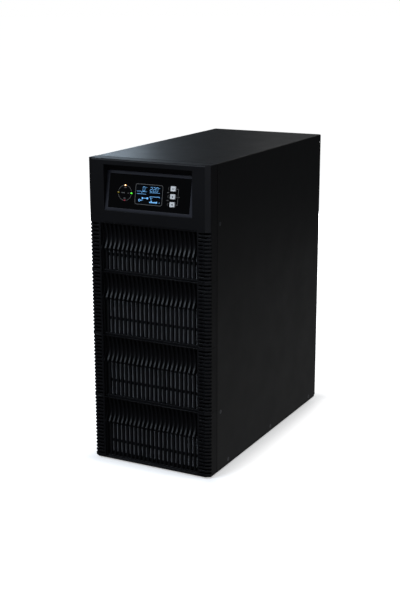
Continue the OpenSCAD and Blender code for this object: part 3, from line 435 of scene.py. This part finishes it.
# For each finish its maker, the maker's values in their order, and the values that it names.
# grained takes dark and light colour, grain, depth and roughness; lit takes colour, glow and strength.
FINISHES = {
    # Moulded ABS with a spark-eroded texture: dull black, a soft broad sheen, its grain drawn coarse.
    "textured_abs_black": (grained, ("#080709", "#0b0a0d", 0.6 * MM, 0.03 * MM, 0.5), {"gloss": 0.3}),
    # Polyester powder coat on sheet steel: fine orange peel, satin black.
    "powder_coat_black": (grained, ("#09090a", "#0c0c0d", 1.1 * MM, 0.04 * MM, 0.4), {"gloss": 0.3}),
    # Zinc-plated sheet steel with its faint spangle.
    "zinc_plated_sheet": (grained, ("#8d9194", "#b4b8ba", 2.0 * MM, 0.01 * MM, 0.38),
                          {"mottle": 9.0, "metallic": 1.0}),
    # Moulded ABS of the tilted frame: dark grey, a little smoother than the mouldings round it.
    "moulded_abs_grey": (grained, ("#24242a", "#2b2b32", 0.6 * MM, 0.02 * MM, 0.42), {"gloss": 0.3}),
    # Cast acrylic with a black printed back: near-mirror gloss over black.
    "black_acrylic": (grained, ("#020203", "#040405", 9.0 * MM, 0.002 * MM, 0.09), {"spread": 0.03}),
    # Moulded nitrile rubber of the feet: matt black.
    "rubber_black": (grained, ("#141414", "#1d1d1d", 0.5 * MM, 0.04 * MM, 0.78), {"ior": 1.45}),
    # Moulded silicone rubber of the keys: near white, soft.
    "silicone_grey": (grained, ("#f4f3f0", "#fbfaf8", 0.4 * MM, 0.015 * MM, 0.62), {"ior": 1.41}),
    # Black zinc on machine screws: a dark grey satin metal.
    "black_zinc_screw": (grained, ("#6c6d72", "#85868b", 0.5 * MM, 0.01 * MM, 0.36),
                         {"mottle": 3.0, "metallic": 1.0}),
    # Bright nickel plate on guards, screws and socket shells.
    "bright_nickel": (grained, ("#c3c0b8", "#d8d5cd", 1.2 * MM, 0.004 * MM, 0.2),
                      {"mottle": 6.0, "metallic": 1.0}),
    # Screen-printed grey ink on the panel.
    "printed_ink_grey": (grained, ("#4d4b48", "#575552", 0.3 * MM, 0.005 * MM, 0.55), {}),
    # Screen-printed black ink on the keys.
    "dark_ink": (grained, ("#141414", "#1c1c1c", 0.3 * MM, 0.005 * MM, 0.6), {}),
    # Light grey polyester fleece of the dust filter.
    "filter_fleece": (grained, ("#a9abb0", "#bbbdc2", 0.8 * MM, 0.2 * MM, 0.85), {"mottle": 14.0}),
    # Monofilament net over the fleece.
    "woven_filter": (grained, ("#8f8f8f", "#a3a3a3", 0.5 * MM, 0.05 * MM, 0.6), {"mottle": 14.0}),
    # Green solder mask on circuit boards: glossy over a fine weave.
    "solder_mask_green": (grained, ("#0b3a22", "#0f4a2b", 1.5 * MM, 0.02 * MM, 0.35), {"mottle": 5.0}),
    # Black moulded plastic of fans, relays, switches, frames and glands.
    "component_black": (grained, ("#1a1a1a", "#242424", 0.5 * MM, 0.02 * MM, 0.6), {}),
    # Grey moulded ABS of the battery cases.
    "battery_case_abs": (grained, ("#3f4346", "#4b4f52", 0.7 * MM, 0.03 * MM, 0.55), {}),
    # Enamelled copper wire and tinned copper links.
    "copper_enamelled": (grained, ("#9a4a22", "#b8622f", 1.0 * MM, 0.05 * MM, 0.3),
                         {"mottle": 4.0, "metallic": 1.0}),
    # Turned brass of stand-offs and the earth stud.
    "brass_turned": (grained, ("#b08d3c", "#c9a654", 0.5 * MM, 0.01 * MM, 0.28),
                     {"mottle": 4.0, "metallic": 1.0}),
    # Extruded aluminium of the heat sinks: bare satin metal.
    "aluminium_extruded": (grained, ("#a9acb0", "#c2c5c8", 0.6 * MM, 0.01 * MM, 0.35),
                           {"mottle": 12.0, "metallic": 1.0}),
    # Shrunk blue sleeve on capacitors.
    "sleeve_blue": (grained, ("#10183c", "#18224c", 2.0 * MM, 0.02 * MM, 0.3), {}),
    # Light grey thermoset of the breaker's body.
    "breaker_grey": (grained, ("#c4c4bf", "#d2d2cd", 0.5 * MM, 0.02 * MM, 0.48), {}),
    # Red moulded nylon of the battery socket.
    "socket_red": (grained, ("#5f1410", "#6f1a14", 0.5 * MM, 0.02 * MM, 0.42), {}),
    # Amber lens, lit.
    "lamp_amber_lit": (lit, ("#ffb860", "#ff9a30", 1.1), {}),
    # The glowing die inside the amber lens.
    "lamp_die_lit": (lit, ("#fff0d8", "#ffe9c0", 3.0), {}),
    # Green lens, lit.
    "lamp_green_lit": (lit, ("#30c020", "#50ff10", 1.0), {}),
    # Yellow lens, off: its faint glow is painted light for the stray light that it catches.
    "lamp_yellow_dark": (lit, ("#7a6408", "#a09000", 0.22), {}),
    # Red lens, off: its faint glow is painted light for the stray light that it catches.
    "lamp_red_dark": (lit, ("#6a0c1c", "#c00838", 0.2), {}),
    # Lit segments of the liquid-crystal screen, with the blue of its backlight.
    "screen_blue": (lit, ("#6fb4e8", "#78b4ec", 0.75), {}),
    # Polished glass over the dark screen.
    "screen_glass": (grained, ("#020407", "#04070c", 6.0 * MM, 0.002 * MM, 0.12), {"spread": 0.02}),
}


# ---------------------------------------------------------------- settings

class CabinetSettings(bpy.types.PropertyGroup):
    """Rounds on the edges that the plastic nodes leave sharp, and the weave of the dust filter."""
    plastic_round: bpy.props.FloatProperty(
        name="Plastic edge", description="Round on the edges of the plastic mouldings",
        default=0.45 * MM, min=0.0, unit="LENGTH")
    slat_round: bpy.props.FloatProperty(
        name="Slat edge", description="Round on the edges of the slats",
        default=0.4 * MM, min=0.0, unit="LENGTH")
    thread_pitch: bpy.props.FloatProperty(
        name="Thread pitch", description="Spacing of the dust filter's threads",
        default=2.6 * MM, min=1.0 * MM, unit="LENGTH")
    thread: bpy.props.FloatProperty(
        name="Thread", description="Thickness of the dust filter's threads", default=0.75 * MM, unit="LENGTH")


class DisplaySettings(bpy.types.PropertyGroup):
    """Sizes of what is printed and lit on the display."""
    screen_x: bpy.props.FloatProperty(
        name="Screen place", description="Distance of the screen's middle from the panel's",
        default=-0.7 * MM, unit="LENGTH")
    screen_w: bpy.props.FloatProperty(
        name="Screen width", description="Width of the screen window", default=54.1 * MM, unit="LENGTH")
    screen_h: bpy.props.FloatProperty(
        name="Screen height", description="Height of the screen window", default=35.0 * MM, unit="LENGTH")
    ink: bpy.props.FloatProperty(
        name="Ink line", description="Width of the printed lines", default=0.9 * MM, unit="LENGTH")
    outline: bpy.props.FloatProperty(
        name="Screen outline", description="Width of the line round the screen",
        default=1.1 * MM, unit="LENGTH")
    key_lip: bpy.props.FloatProperty(
        name="Key lip", description="Width of the hidden lip round a key", default=1.9 * MM, unit="LENGTH")


class StageSettings(bpy.types.PropertyGroup):
    """The camera's aim, roll and lens."""
    azimuth: bpy.props.FloatProperty(
        name="Azimuth", description="Angle of the camera round the cabinet from its front",
        default=math.radians(27.48),
        subtype="ANGLE")
    elevation: bpy.props.FloatProperty(
        name="Elevation", description="Angle of the camera's axis above the level",
        default=math.radians(14.78),
        subtype="ANGLE")
    roll: bpy.props.FloatProperty(
        name="Roll", description="Turn of the camera about its own axis", default=math.radians(-0.14),
        subtype="ANGLE")
    lens: bpy.props.FloatProperty(
        name="Lens", description="Focal length in millimetres for a 36 mm sensor", default=70.34)


# ---------------------------------------------------------------- operators

class SUPPLY_OT_front(bpy.types.Operator):
    """Rounds the edges of the plastic front mouldings and gives them their texture"""
    bl_idname = "supply.front"
    bl_label = "Front mouldings"

    def execute(self, context):
        size = context.scene.supply_cabinet
        abs_black = finish("textured_abs_black")
        softened("display_bezel", "head_moulding", abs_black, size.plastic_round)
        for node in ("upper_grille", "middle_grille", "lower_grille"):
            softened(node, node.replace("grille", "slat_moulding"), abs_black, size.slat_round)
        softened("display_frame", "tilted_frame", finish("moulded_abs_grey"), size.plastic_round)
        return {"FINISHED"}


class SUPPLY_OT_nodes(bpy.types.Operator):
    """Gives every CAD node that stays its real finish"""
    bl_idname = "supply.nodes"
    bl_label = "Carried-over parts"

    plan = {
        "powder_coat_black": ("cabinet_cover", "rear_panel", "terminal_cover", "slot_cover"),
        "zinc_plated_sheet": ("base_tray", "front_frame", "lower_shelf", "upper_shelf", "power_deck",
                              "battery_bars"),
        "rubber_black": ("rubber_feet",),
        "filter_fleece": ("dust_filter",),
        "black_zinc_screw": ("cover_screws",),
        "bright_nickel": ("fan_guards", "fan_screws", "panel_screws", "signal_ports"),
        "component_black": ("filter_frame", "key_switches", "transfer_relays", "power_transistors",
                            "left_fan_frame", "right_fan_frame", "left_fan_rotor", "right_fan_rotor",
                            "breaker_lever", "terminal_strip", "cable_glands"),
        "black_acrylic": ("display_panel",),
        "screen_glass": ("screen_module",),
        "solder_mask_green": ("display_board", "power_board", "control_board"),
        "battery_case_abs": tuple(f"battery_row_{i}" for i in range(1, 7)),
        "copper_enamelled": ("battery_links", "filter_chokes"),
        "brass_turned": ("board_standoffs", "earth_stud"),
        "aluminium_extruded": ("left_heatsink", "right_heatsink"),
        "sleeve_blue": ("bus_capacitors",),
        "breaker_grey": ("breaker_body",),
        "socket_red": ("battery_socket",),
    }

    def execute(self, context):
        for name, nodes in self.plan.items():
            for node in nodes:
                obj = frame["nodes"][node]
                obj.data.materials.clear()
                obj.data.materials.append(finish(name))
        return {"FINISHED"}


class SUPPLY_OT_display(bpy.types.Operator):
    """Prints the panel's marks, and lights the screen and the status lamps"""
    bl_idname = "supply.display"
    bl_label = "Display"

    def execute(self, context):
        size = context.scene.supply_display
        plane = DisplayPlane()
        key_x, mid = plane.find("button_down")
        skin, corner, gap = 0.02 * MM, 3 * MM, 13
        left, right = (size.screen_x + side * size.screen_w / 2 for side in (-1, 1))
        half_h = size.screen_h / 2

        glass = Print(plane.at, skin, 0.05 * MM)
        glass.polygon(rounded_box_path(left, mid - half_h, right, mid + half_h, corner))
        glass.done("screen_window", finish("screen_glass"), slot="screen_glass")

        ink = Print(plane.at, skin, 0.04 * MM)
        edge = size.outline / 2
        ink.line(rounded_box_path(left - edge, mid - half_h - edge, right + edge, mid + half_h + edge,
                                  corner + edge), size.outline, closed=True)
        lamp_x, lamp_w = plane.find("lamp_amber")
        ring = lamp_w - mid
        for quarter in range(4):
            start, end = quarter * 90 + gap, (quarter + 1) * 90 - gap
            ink.line(arc_path(lamp_x, mid, ring, start, end, 18), size.ink)
        self.lamp_marks(ink, lamp_x, mid, ring)
        self.key_marks(ink, key_x, mid, plane.find("button_up")[1] - mid, size.ink)
        ink.done("panel_print", finish("printed_ink_grey"), slot="button_rubber")
        self.segments(plane, size.screen_x, mid)
        self.lamps(plane)
        return {"FINISHED"}

    def lamp_marks(self, ink, x, mid, ring):
        """A small printed sign beside each lamp: a tapered bar, two ovals and a short bar."""
        ink.polygon([(x - 8 * MM, mid - 0.6 * MM), (x - 1 * MM, mid - 1.1 * MM), (x - 0.2 * MM, mid),
                     (x - 1 * MM, mid + 1.1 * MM), (x - 8 * MM, mid + 0.6 * MM)])
        ink.box(x + 5.6 * MM, mid - 0.7 * MM, x + 8.8 * MM, mid + 0.7 * MM)
        for side in (-1, 1):
            px, pw = superellipse(20, 2.5 * MM, 1.0 * MM, 2.0)
            ink.polygon(np.stack([x + px, mid + side * (ring - 4 * MM) + pw], -1))

    def key_marks(self, ink, x, mid, step, width):
        """Brackets that tie the keys together: arcs and short bars on the left, a long one on the right."""
        left, right = x - 9.6 * MM, x + 10.4 * MM
        bow, half_bar = 3.4 * MM, 0.7 * MM
        for k in (-1, 0, 1):
            ink.line(arc_path(left + 3.2 * MM, mid + k * step, bow, 125, 235, 8), width * 0.8)
        for k in (-0.5, 0.5):
            ink.box(left - 2.2 * MM, mid + k * step - half_bar, left + 1.8 * MM, mid + k * step + half_bar)
        for side in (-1, 1):
            ink.line([(x + 6.6 * MM, mid + side * step), (right, mid + side * step),
                      (right, mid + side * 1.8 * MM)], width)
        ink.line([(x + 6.8 * MM, mid), (right + 3.4 * MM, mid)], width * 1.3)

    def segments(self, plane, centre, mid):
        """Lit segments: seven-segment numbers, the flow from mains to load, and a load bar."""
        marks = Print(plane.at, 0.08 * MM, 0.03 * MM)

        def spot(x, w):
            return centre + x * MM, mid + w * MM

        for number, x in (("0", -10.6), ("2", 4.4), ("2", 10.2), ("0", 16.0)):
            self.digit(marks, number, *spot(x, 9.8), 4.0 * MM, 7.8 * MM)
        thin, thick = 0.45 * MM, 0.85 * MM
        for width, path in (
                (thin, [(-6.0, 12.8), (-4.2, 13.2)]), (thin, [(20.0, 12.8), (21.8, 12.4)]),
                (thin, [(-24.4, 5.3), (-15.6, 5.3)]), (thin, [(-13.2, 5.2), (-4.6, 5.0)]),
                (thin, [(-24.4, 0.8), (-5.4, 0.6)]), (thick, [(-14.6, 5.0), (-14.4, 2.4)]),
                (thin, [(2.0, 4.1), (22.2, 4.1)]),
                (0.7 * MM, [(2.4, -3.2), (22.0, -2.8), (22.4, -4.2)]),
                (0.7 * MM, [(2.6, -3.8), (4.8, -7.6), (7.8, -6.0)]),
                (thick, [(-16.6, -10.8), (-12.4, -10.4)]), (thick, [(-11.0, -6.6), (-4.4, -6.4)]),
                (thin, [(-13.4, -9.8), (-12.2, -7.8)]), (thin, [(22.4, -12.0), (22.4, -14.2)])):
            marks.line([spot(x, w) for x, w in path], width)
        for x, w, r in ((-12.4, -6.6, 1.6), (-2.4, -6.4, 1.9)):
            marks.disc(*spot(x, w), r * MM)
        marks.line(arc_path(*spot(-18.4, -10.8), 1.7 * MM, 0, 345, 23), thick, closed=True)
        bars = (2.0, 4.2, 2.0, 2.2, 2.6, 2.9)
        for k, high in enumerate(bars):
            marks.box(*spot(2.0 + 2.75 * k, -14.2), *spot(4.2 + 2.75 * k, high - 14.2))
        marks.done("screen_segments", finish("screen_blue"), slot="screen_glass")

    def digit(self, marks, number, x, w, wide, high):
        """One seven-segment numeral, centred at (x, w) and leaning to the right."""
        on = {"0": "abcdef", "2": "abged"}[number]
        a, b, t = wide / 2, high / 2, 0.62 * MM
        gap, lean = 0.2 * MM, 0.05
        ends = {"a": ((-a, b), (a, b)), "g": ((-a, 0), (a, 0)), "d": ((-a, -b), (a, -b)),
                "f": ((-a, b), (-a, 0)), "b": ((a, b), (a, 0)),
                "e": ((-a, 0), (-a, -b)), "c": ((a, 0), (a, -b))}
        for key in on:
            p, q = (np.array(v) for v in ends[key])
            way = (q - p) / np.linalg.norm(q - p)
            side = np.array([-way[1], way[0]]) * t / 2
            p, q = p + way * gap, q - way * gap
            tip = way * t / 2
            outline = np.array([p, p + tip - side, q - tip - side, q, q - tip + side, p + tip + side])
            outline[:, 0] += lean * outline[:, 1]
            marks.polygon(outline + (x, w))

    def lamps(self, plane):
        """Oval lamp lenses in place of the lamp nodes: a low dome on a thin foot at the panel's face; amber
        shows its lit die.
        """
        lens_size = 2.2 * MM, 1.2 * MM, 0.03 * MM
        die_size = 1.5 * MM, 0.75 * MM, 0.3 * MM
        for colour, name in (("amber", "lamp_amber_lit"), ("yellow", "lamp_yellow_dark"),
                             ("green", "lamp_green_lit"), ("red", "lamp_red_dark")):
            x, w = plane.find(f"lamp_{colour}")
            lens = self.dome(plane, x, w, *lens_size, f"lamp_lens_{colour}", name, f"{colour}_lamp")
            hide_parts(f"lamp_{colour}")
            if colour == "amber":
                self.dome(plane, x, w, *die_size, "lamp_die_amber", "lamp_die_lit", "amber_lamp")

    def dome(self, plane, x, w, a, b, foot, name, material, slot):
        """An oval dome on a foot above the panel: rings inset by b * (1 - cos t) and raised by high * sin t.

        a and b are its half axes, and high is 0.4 * b.
        """
        high = 0.4 * b
        t = np.linspace(0.0, 1.45, 7)
        profile = [(0.1 * b, foot - 0.01 * MM)]
        profile += [(b * (1 - math.cos(v)), foot + high * math.sin(v)) for v in t]
        points, faces = cushion(plane.at, x, w, a, b, 2.0, profile, 40)
        return piece(name, points, faces, finish(material), smooth=50, slot=slot)


class SUPPLY_OT_keys(bpy.types.Operator):
    """Moulds the three silicone keys with their printed symbols"""
    bl_idname = "supply.keys"
    bl_label = "Keys"

    def execute(self, context):
        plane = DisplayPlane()
        lip = context.scene.supply_display.key_lip
        lo, hi = corners("button_up")
        half_w = (hi[0] - lo[0]) / 2 - lip
        half_h = half_w * 0.89
        proud, r = 1.4 * MM, 0.9 * MM
        root, step = -3.6 * MM, -2.8 * MM
        symbols = {"button_up": self.tick, "button_down": self.dot, "button_enter": self.arrow}
        for node, symbol in symbols.items():
            x, w = plane.find(node)
            rise = np.linspace(0, np.pi / 2, 8)
            profile = [(-lip, root), (-lip, step), (0.0, step), (0.0, proud - r)]
            profile += [(r * (1 - math.cos(t)), proud - r + r * math.sin(t)) for t in rise[1:]]
            profile += [(half_h * k, proud - 0.12 * MM * k) for k in (0.5, 0.75)]
            points, faces = cushion(plane.at, x, w, half_w, half_h, 7, profile, 96)
            key = piece(node.replace("button", "key"), points, faces, finish("silicone_grey"),
                        body=node + "_key", smooth=45, slot="button_rubber")
            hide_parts(node)
            ink = Print(plane.at, proud - 0.02 * MM, 0.04 * MM)
            symbol(ink, x, w)
            ink.done(node.replace("button", "key") + "_symbol", finish("dark_ink"), body=node + "_key",
                     slot="button_rubber")
        return {"FINISHED"}

    def tick(self, ink, x, w):
        """A return arrow."""
        foot, right, stroke = w - 0.2 * MM, x + 1.9 * MM, 0.8 * MM
        ink.line([(right, w + 1.3 * MM), (right, foot), (x - 1.0 * MM, foot)], stroke)
        ink.polygon([(x - 2.5 * MM, foot), (x - 0.7 * MM, w - 1.5 * MM), (x - 0.7 * MM, w + 1.1 * MM)])

    def dot(self, ink, x, w):
        """A small diamond."""
        ink.polygon([(x - 1.7 * MM, w), (x, w - 1.6 * MM), (x + 1.7 * MM, w), (x, w + 1.6 * MM)])

    def arrow(self, ink, x, w):
        """A triangle that points left."""
        ink.polygon([(x - 1.9 * MM, w), (x + 1.4 * MM, w - 1.8 * MM), (x + 1.4 * MM, w + 1.8 * MM)])


class SUPPLY_OT_filter(bpy.types.Operator):
    """Weaves the dust filter and lines the seams of the front with their lap tongues"""
    bl_idname = "supply.filter"
    bl_label = "Filter and seams"

    def execute(self, context):
        size = context.scene.supply_cabinet
        lo, hi = corners("dust_filter")
        hi[1] = lo[1]
        lo[1] -= 2 * size.thread
        points, faces = woven(lo, hi, size.thread_pitch, size.thread)
        piece("filter_net", points, faces, finish("woven_filter"), slot="filter_mesh")
        self.tongues()
        return {"FINISHED"}

    def tongues(self):
        """Behind each seam a lap tongue follows the inside of the side wall and the bevelled corner."""
        outer, face = corners("upper_grille")
        wall, lap, thick, bevel = 2.8 * MM, 3.0 * MM, 1.2 * MM, 5.2 * MM
        half = face[0] - wall
        front = outer[1] + 3.0 * MM
        back = corners("display_bezel")[1][1] - 1.0 * MM
        inner = corners("filter_frame")[1][0] + bevel
        tiers = ("lower_grille", "middle_grille", "upper_grille", "display_bezel")
        for number, (below, above) in enumerate(zip(tiers, tiers[1:]), 1):
            seam = (corners(below)[1][2] + corners(above)[0][2]) / 2
            section = [(0, seam - lap), (thick, seam - lap), (thick, seam + lap), (0, seam + lap)]
            for side, hand in ((-1, "left"), (1, "right")):
                path = [(side * half, back), (side * half, front + 8 * MM), (side * half, front + bevel),
                        (side * (half - bevel), front), (side * inner, front)]
                points, faces = swept(path if side > 0 else path[::-1], section)
                piece(f"seam_tongue_{hand}_{number}", points, faces, finish("textured_abs_black"),
                      slot="black_plastic")


class SUPPLY_OT_stage(bpy.types.Operator):
    """Lays the floor, hangs the lights and sets the camera"""
    bl_idname = "supply.stage"
    bl_label = "Stage"

    def execute(self, context):
        scene = context.scene
        size = scene.supply_stage
        scene.view_settings.view_transform = "Standard"
        self.camera(scene, size)
        self.floor(scene)
        self.world(scene)
        for name, (place, target, area, power, colour) in LIGHTS.items():
            self.light(scene, name, place, target, area, power, colour)
        return {"FINISHED"}

    def camera(self, scene, size):
        """A camera that looks along the given azimuth and elevation from a fixed place."""
        data = bpy.data.cameras.new("camera")
        data.lens = size.lens
        data.sensor_width = 36.0
        data.clip_end = 50.0
        camera = bpy.data.objects.new("camera", data)
        scene.collection.objects.link(camera)
        a, e = size.azimuth, size.elevation
        back = Vector((math.sin(a) * math.cos(e), -math.cos(a) * math.cos(e), math.sin(e)))
        right = (-back).cross(Vector((0, 0, 1))).normalized()
        up = right.cross(-back)
        turn = Matrix((right, up, back)).transposed() @ Matrix.Rotation(size.roll, 3, "Z")
        camera.matrix_world = Matrix.Translation(CAMERA_PLACE) @ turn.to_4x4()
        scene.camera = camera

    def floor(self, scene):
        """A round pale floor that glows evenly, with a painted contact shadow: its glow drops close to the
        cabinet's footprint.
        """
        radius, sides = 40.0, 96
        rim = arc_path(0, 0, radius, 0, 360 * (sides - 1) / sides, sides - 1)
        mesh = bpy.data.meshes.new("floor")
        mesh.from_pydata([(x, y, 0.0) for x, y in rim], [], [list(range(len(rim)))])
        floor = bpy.data.objects.new("floor", mesh)
        scene.collection.objects.link(floor)
        material, tree, shader = surface("floor_white_matt")
        shader.inputs["Base Color"].default_value = linear("#e8e8e8")
        shader.inputs["Roughness"].default_value = 1.0
        shader.inputs["Specular IOR Level"].default_value = 0.0
        shader.inputs["Emission Color"].default_value = (1.0, 1.0, 1.0, 1.0)
        lo, hi = (np.array(v) for v in CAD_BOX)
        middle, half = (lo + hi) / 2, (hi - lo) / 2
        place = add(tree, "ShaderNodeTexCoord").outputs["Object"]
        shift = add(tree, "ShaderNodeVectorMath", {0: place}, operation="SUBTRACT")
        shift.inputs[1].default_value = (middle[0], middle[1], 0.0)
        size = add(tree, "ShaderNodeVectorMath", {0: shift.outputs["Vector"]}, operation="ABSOLUTE")
        past = add(tree, "ShaderNodeVectorMath", {0: size.outputs["Vector"]}, operation="SUBTRACT")
        past.inputs[1].default_value = (half[0], half[1], 0.0)
        out = add(tree, "ShaderNodeVectorMath", {0: past.outputs["Vector"]}, operation="MAXIMUM")
        out.inputs[1].default_value = (0.0, 0.0, 0.0)
        gap = add(tree, "ShaderNodeVectorMath", {0: out.outputs["Vector"]}, operation="LENGTH")
        # Painted contact shadow: the glow falls from 0.97 a few centimetres out to 0.45 at the cabinet's
        # footprint.
        (near, painted_shadow_glow), (far, bright) = (-0.01, 0.45), (0.06, 0.97)
        glow = add(tree, "ShaderNodeMapRange", {"Value": gap.outputs["Value"]}, clamp=True,
                   interpolation_type="SMOOTHSTEP", From_Min=near, From_Max=far, To_Min=painted_shadow_glow, To_Max=bright)
        tree.links.new(glow.outputs["Result"], shader.inputs["Emission Strength"])
        mesh.materials.append(material)
        floor.visible_diffuse = False
        floor.visible_glossy = False

    def world(self, scene):
        """White to the camera, and a dim even grey to everything else, as in a dark studio."""
        world = bpy.data.worlds.new("studio")
        scene.world = world
        world.use_nodes = True
        tree = world.node_tree
        tree.nodes.clear()
        path = add(tree, "ShaderNodeLightPath")
        bright = add(tree, "ShaderNodeBackground", Strength=1.0)
        dim = add(tree, "ShaderNodeBackground", Strength=0.045)
        bright.inputs["Color"].default_value = (1, 1, 1, 1)
        dim.inputs["Color"].default_value = (0.9, 0.95, 1, 1)
        mix = add(tree, "ShaderNodeMixShader", {"Fac": path.outputs["Is Camera Ray"]})
        tree.links.new(dim.outputs[0], mix.inputs[1])
        tree.links.new(bright.outputs[0], mix.inputs[2])
        out = add(tree, "ShaderNodeOutputWorld")
        tree.links.new(mix.outputs[0], out.inputs["Surface"])

    def light(self, scene, name, place, target, area, power, colour):
        """A level-edged rectangular light at a place, aimed at a target and hidden from the camera."""
        data = bpy.data.lights.new(name, "AREA")
        data.shape = "RECTANGLE"
        data.size, data.size_y = area
        data.energy = power
        data.color = colour
        lamp = bpy.data.objects.new(name, data)
        lamp.visible_camera = False
        scene.collection.objects.link(lamp)
        back = (Vector(place) - Vector(target)).normalized()
        across = Vector((0, 0, 1)).cross(back) if abs(back.z) < 0.99 else Vector((1, 0, 0))
        across.normalize()
        turn = Matrix((across, back.cross(across), back)).transposed()
        lamp.matrix_world = Matrix.Translation(place) @ turn.to_4x4()


class SUPPLY_PT_panel(bpy.types.Panel):
    """Lists the steps that dress the power supply"""
    bl_idname = "SUPPLY_PT_panel"
    bl_label = "Power Supply"
    bl_space_type = "VIEW_3D"
    bl_region_type = "UI"
    bl_category = "Power Supply"

    def draw(self, context):
        for step in STEPS:
            self.layout.operator(step.bl_idname)
        for group in ("supply_cabinet", "supply_display", "supply_stage"):
            settings = getattr(context.scene, group)
            for name in type(settings).__annotations__:
                self.layout.prop(settings, name)


STEPS = (SUPPLY_OT_front, SUPPLY_OT_nodes, SUPPLY_OT_filter, SUPPLY_OT_display, SUPPLY_OT_keys,
         SUPPLY_OT_stage)
GROUPS = {"supply_cabinet": CabinetSettings, "supply_display": DisplaySettings, "supply_stage": StageSettings}


def register():
    for cls in (*GROUPS.values(), *STEPS, SUPPLY_PT_panel):
        bpy.utils.register_class(cls)
    for name, cls in GROUPS.items():
        setattr(bpy.types.Scene, name, bpy.props.PointerProperty(type=cls))


def unregister():
    for name in GROUPS:
        delattr(bpy.types.Scene, name)
    for cls in reversed((*GROUPS.values(), *STEPS, SUPPLY_PT_panel)):
        bpy.utils.unregister_class(cls)


def main():
    """Registers the add-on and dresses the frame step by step."""
    register()
    for step in STEPS:
        group, name = step.bl_idname.split(".")
        getattr(getattr(bpy.ops, group), name)()


if __name__ == "__main__":
    main()
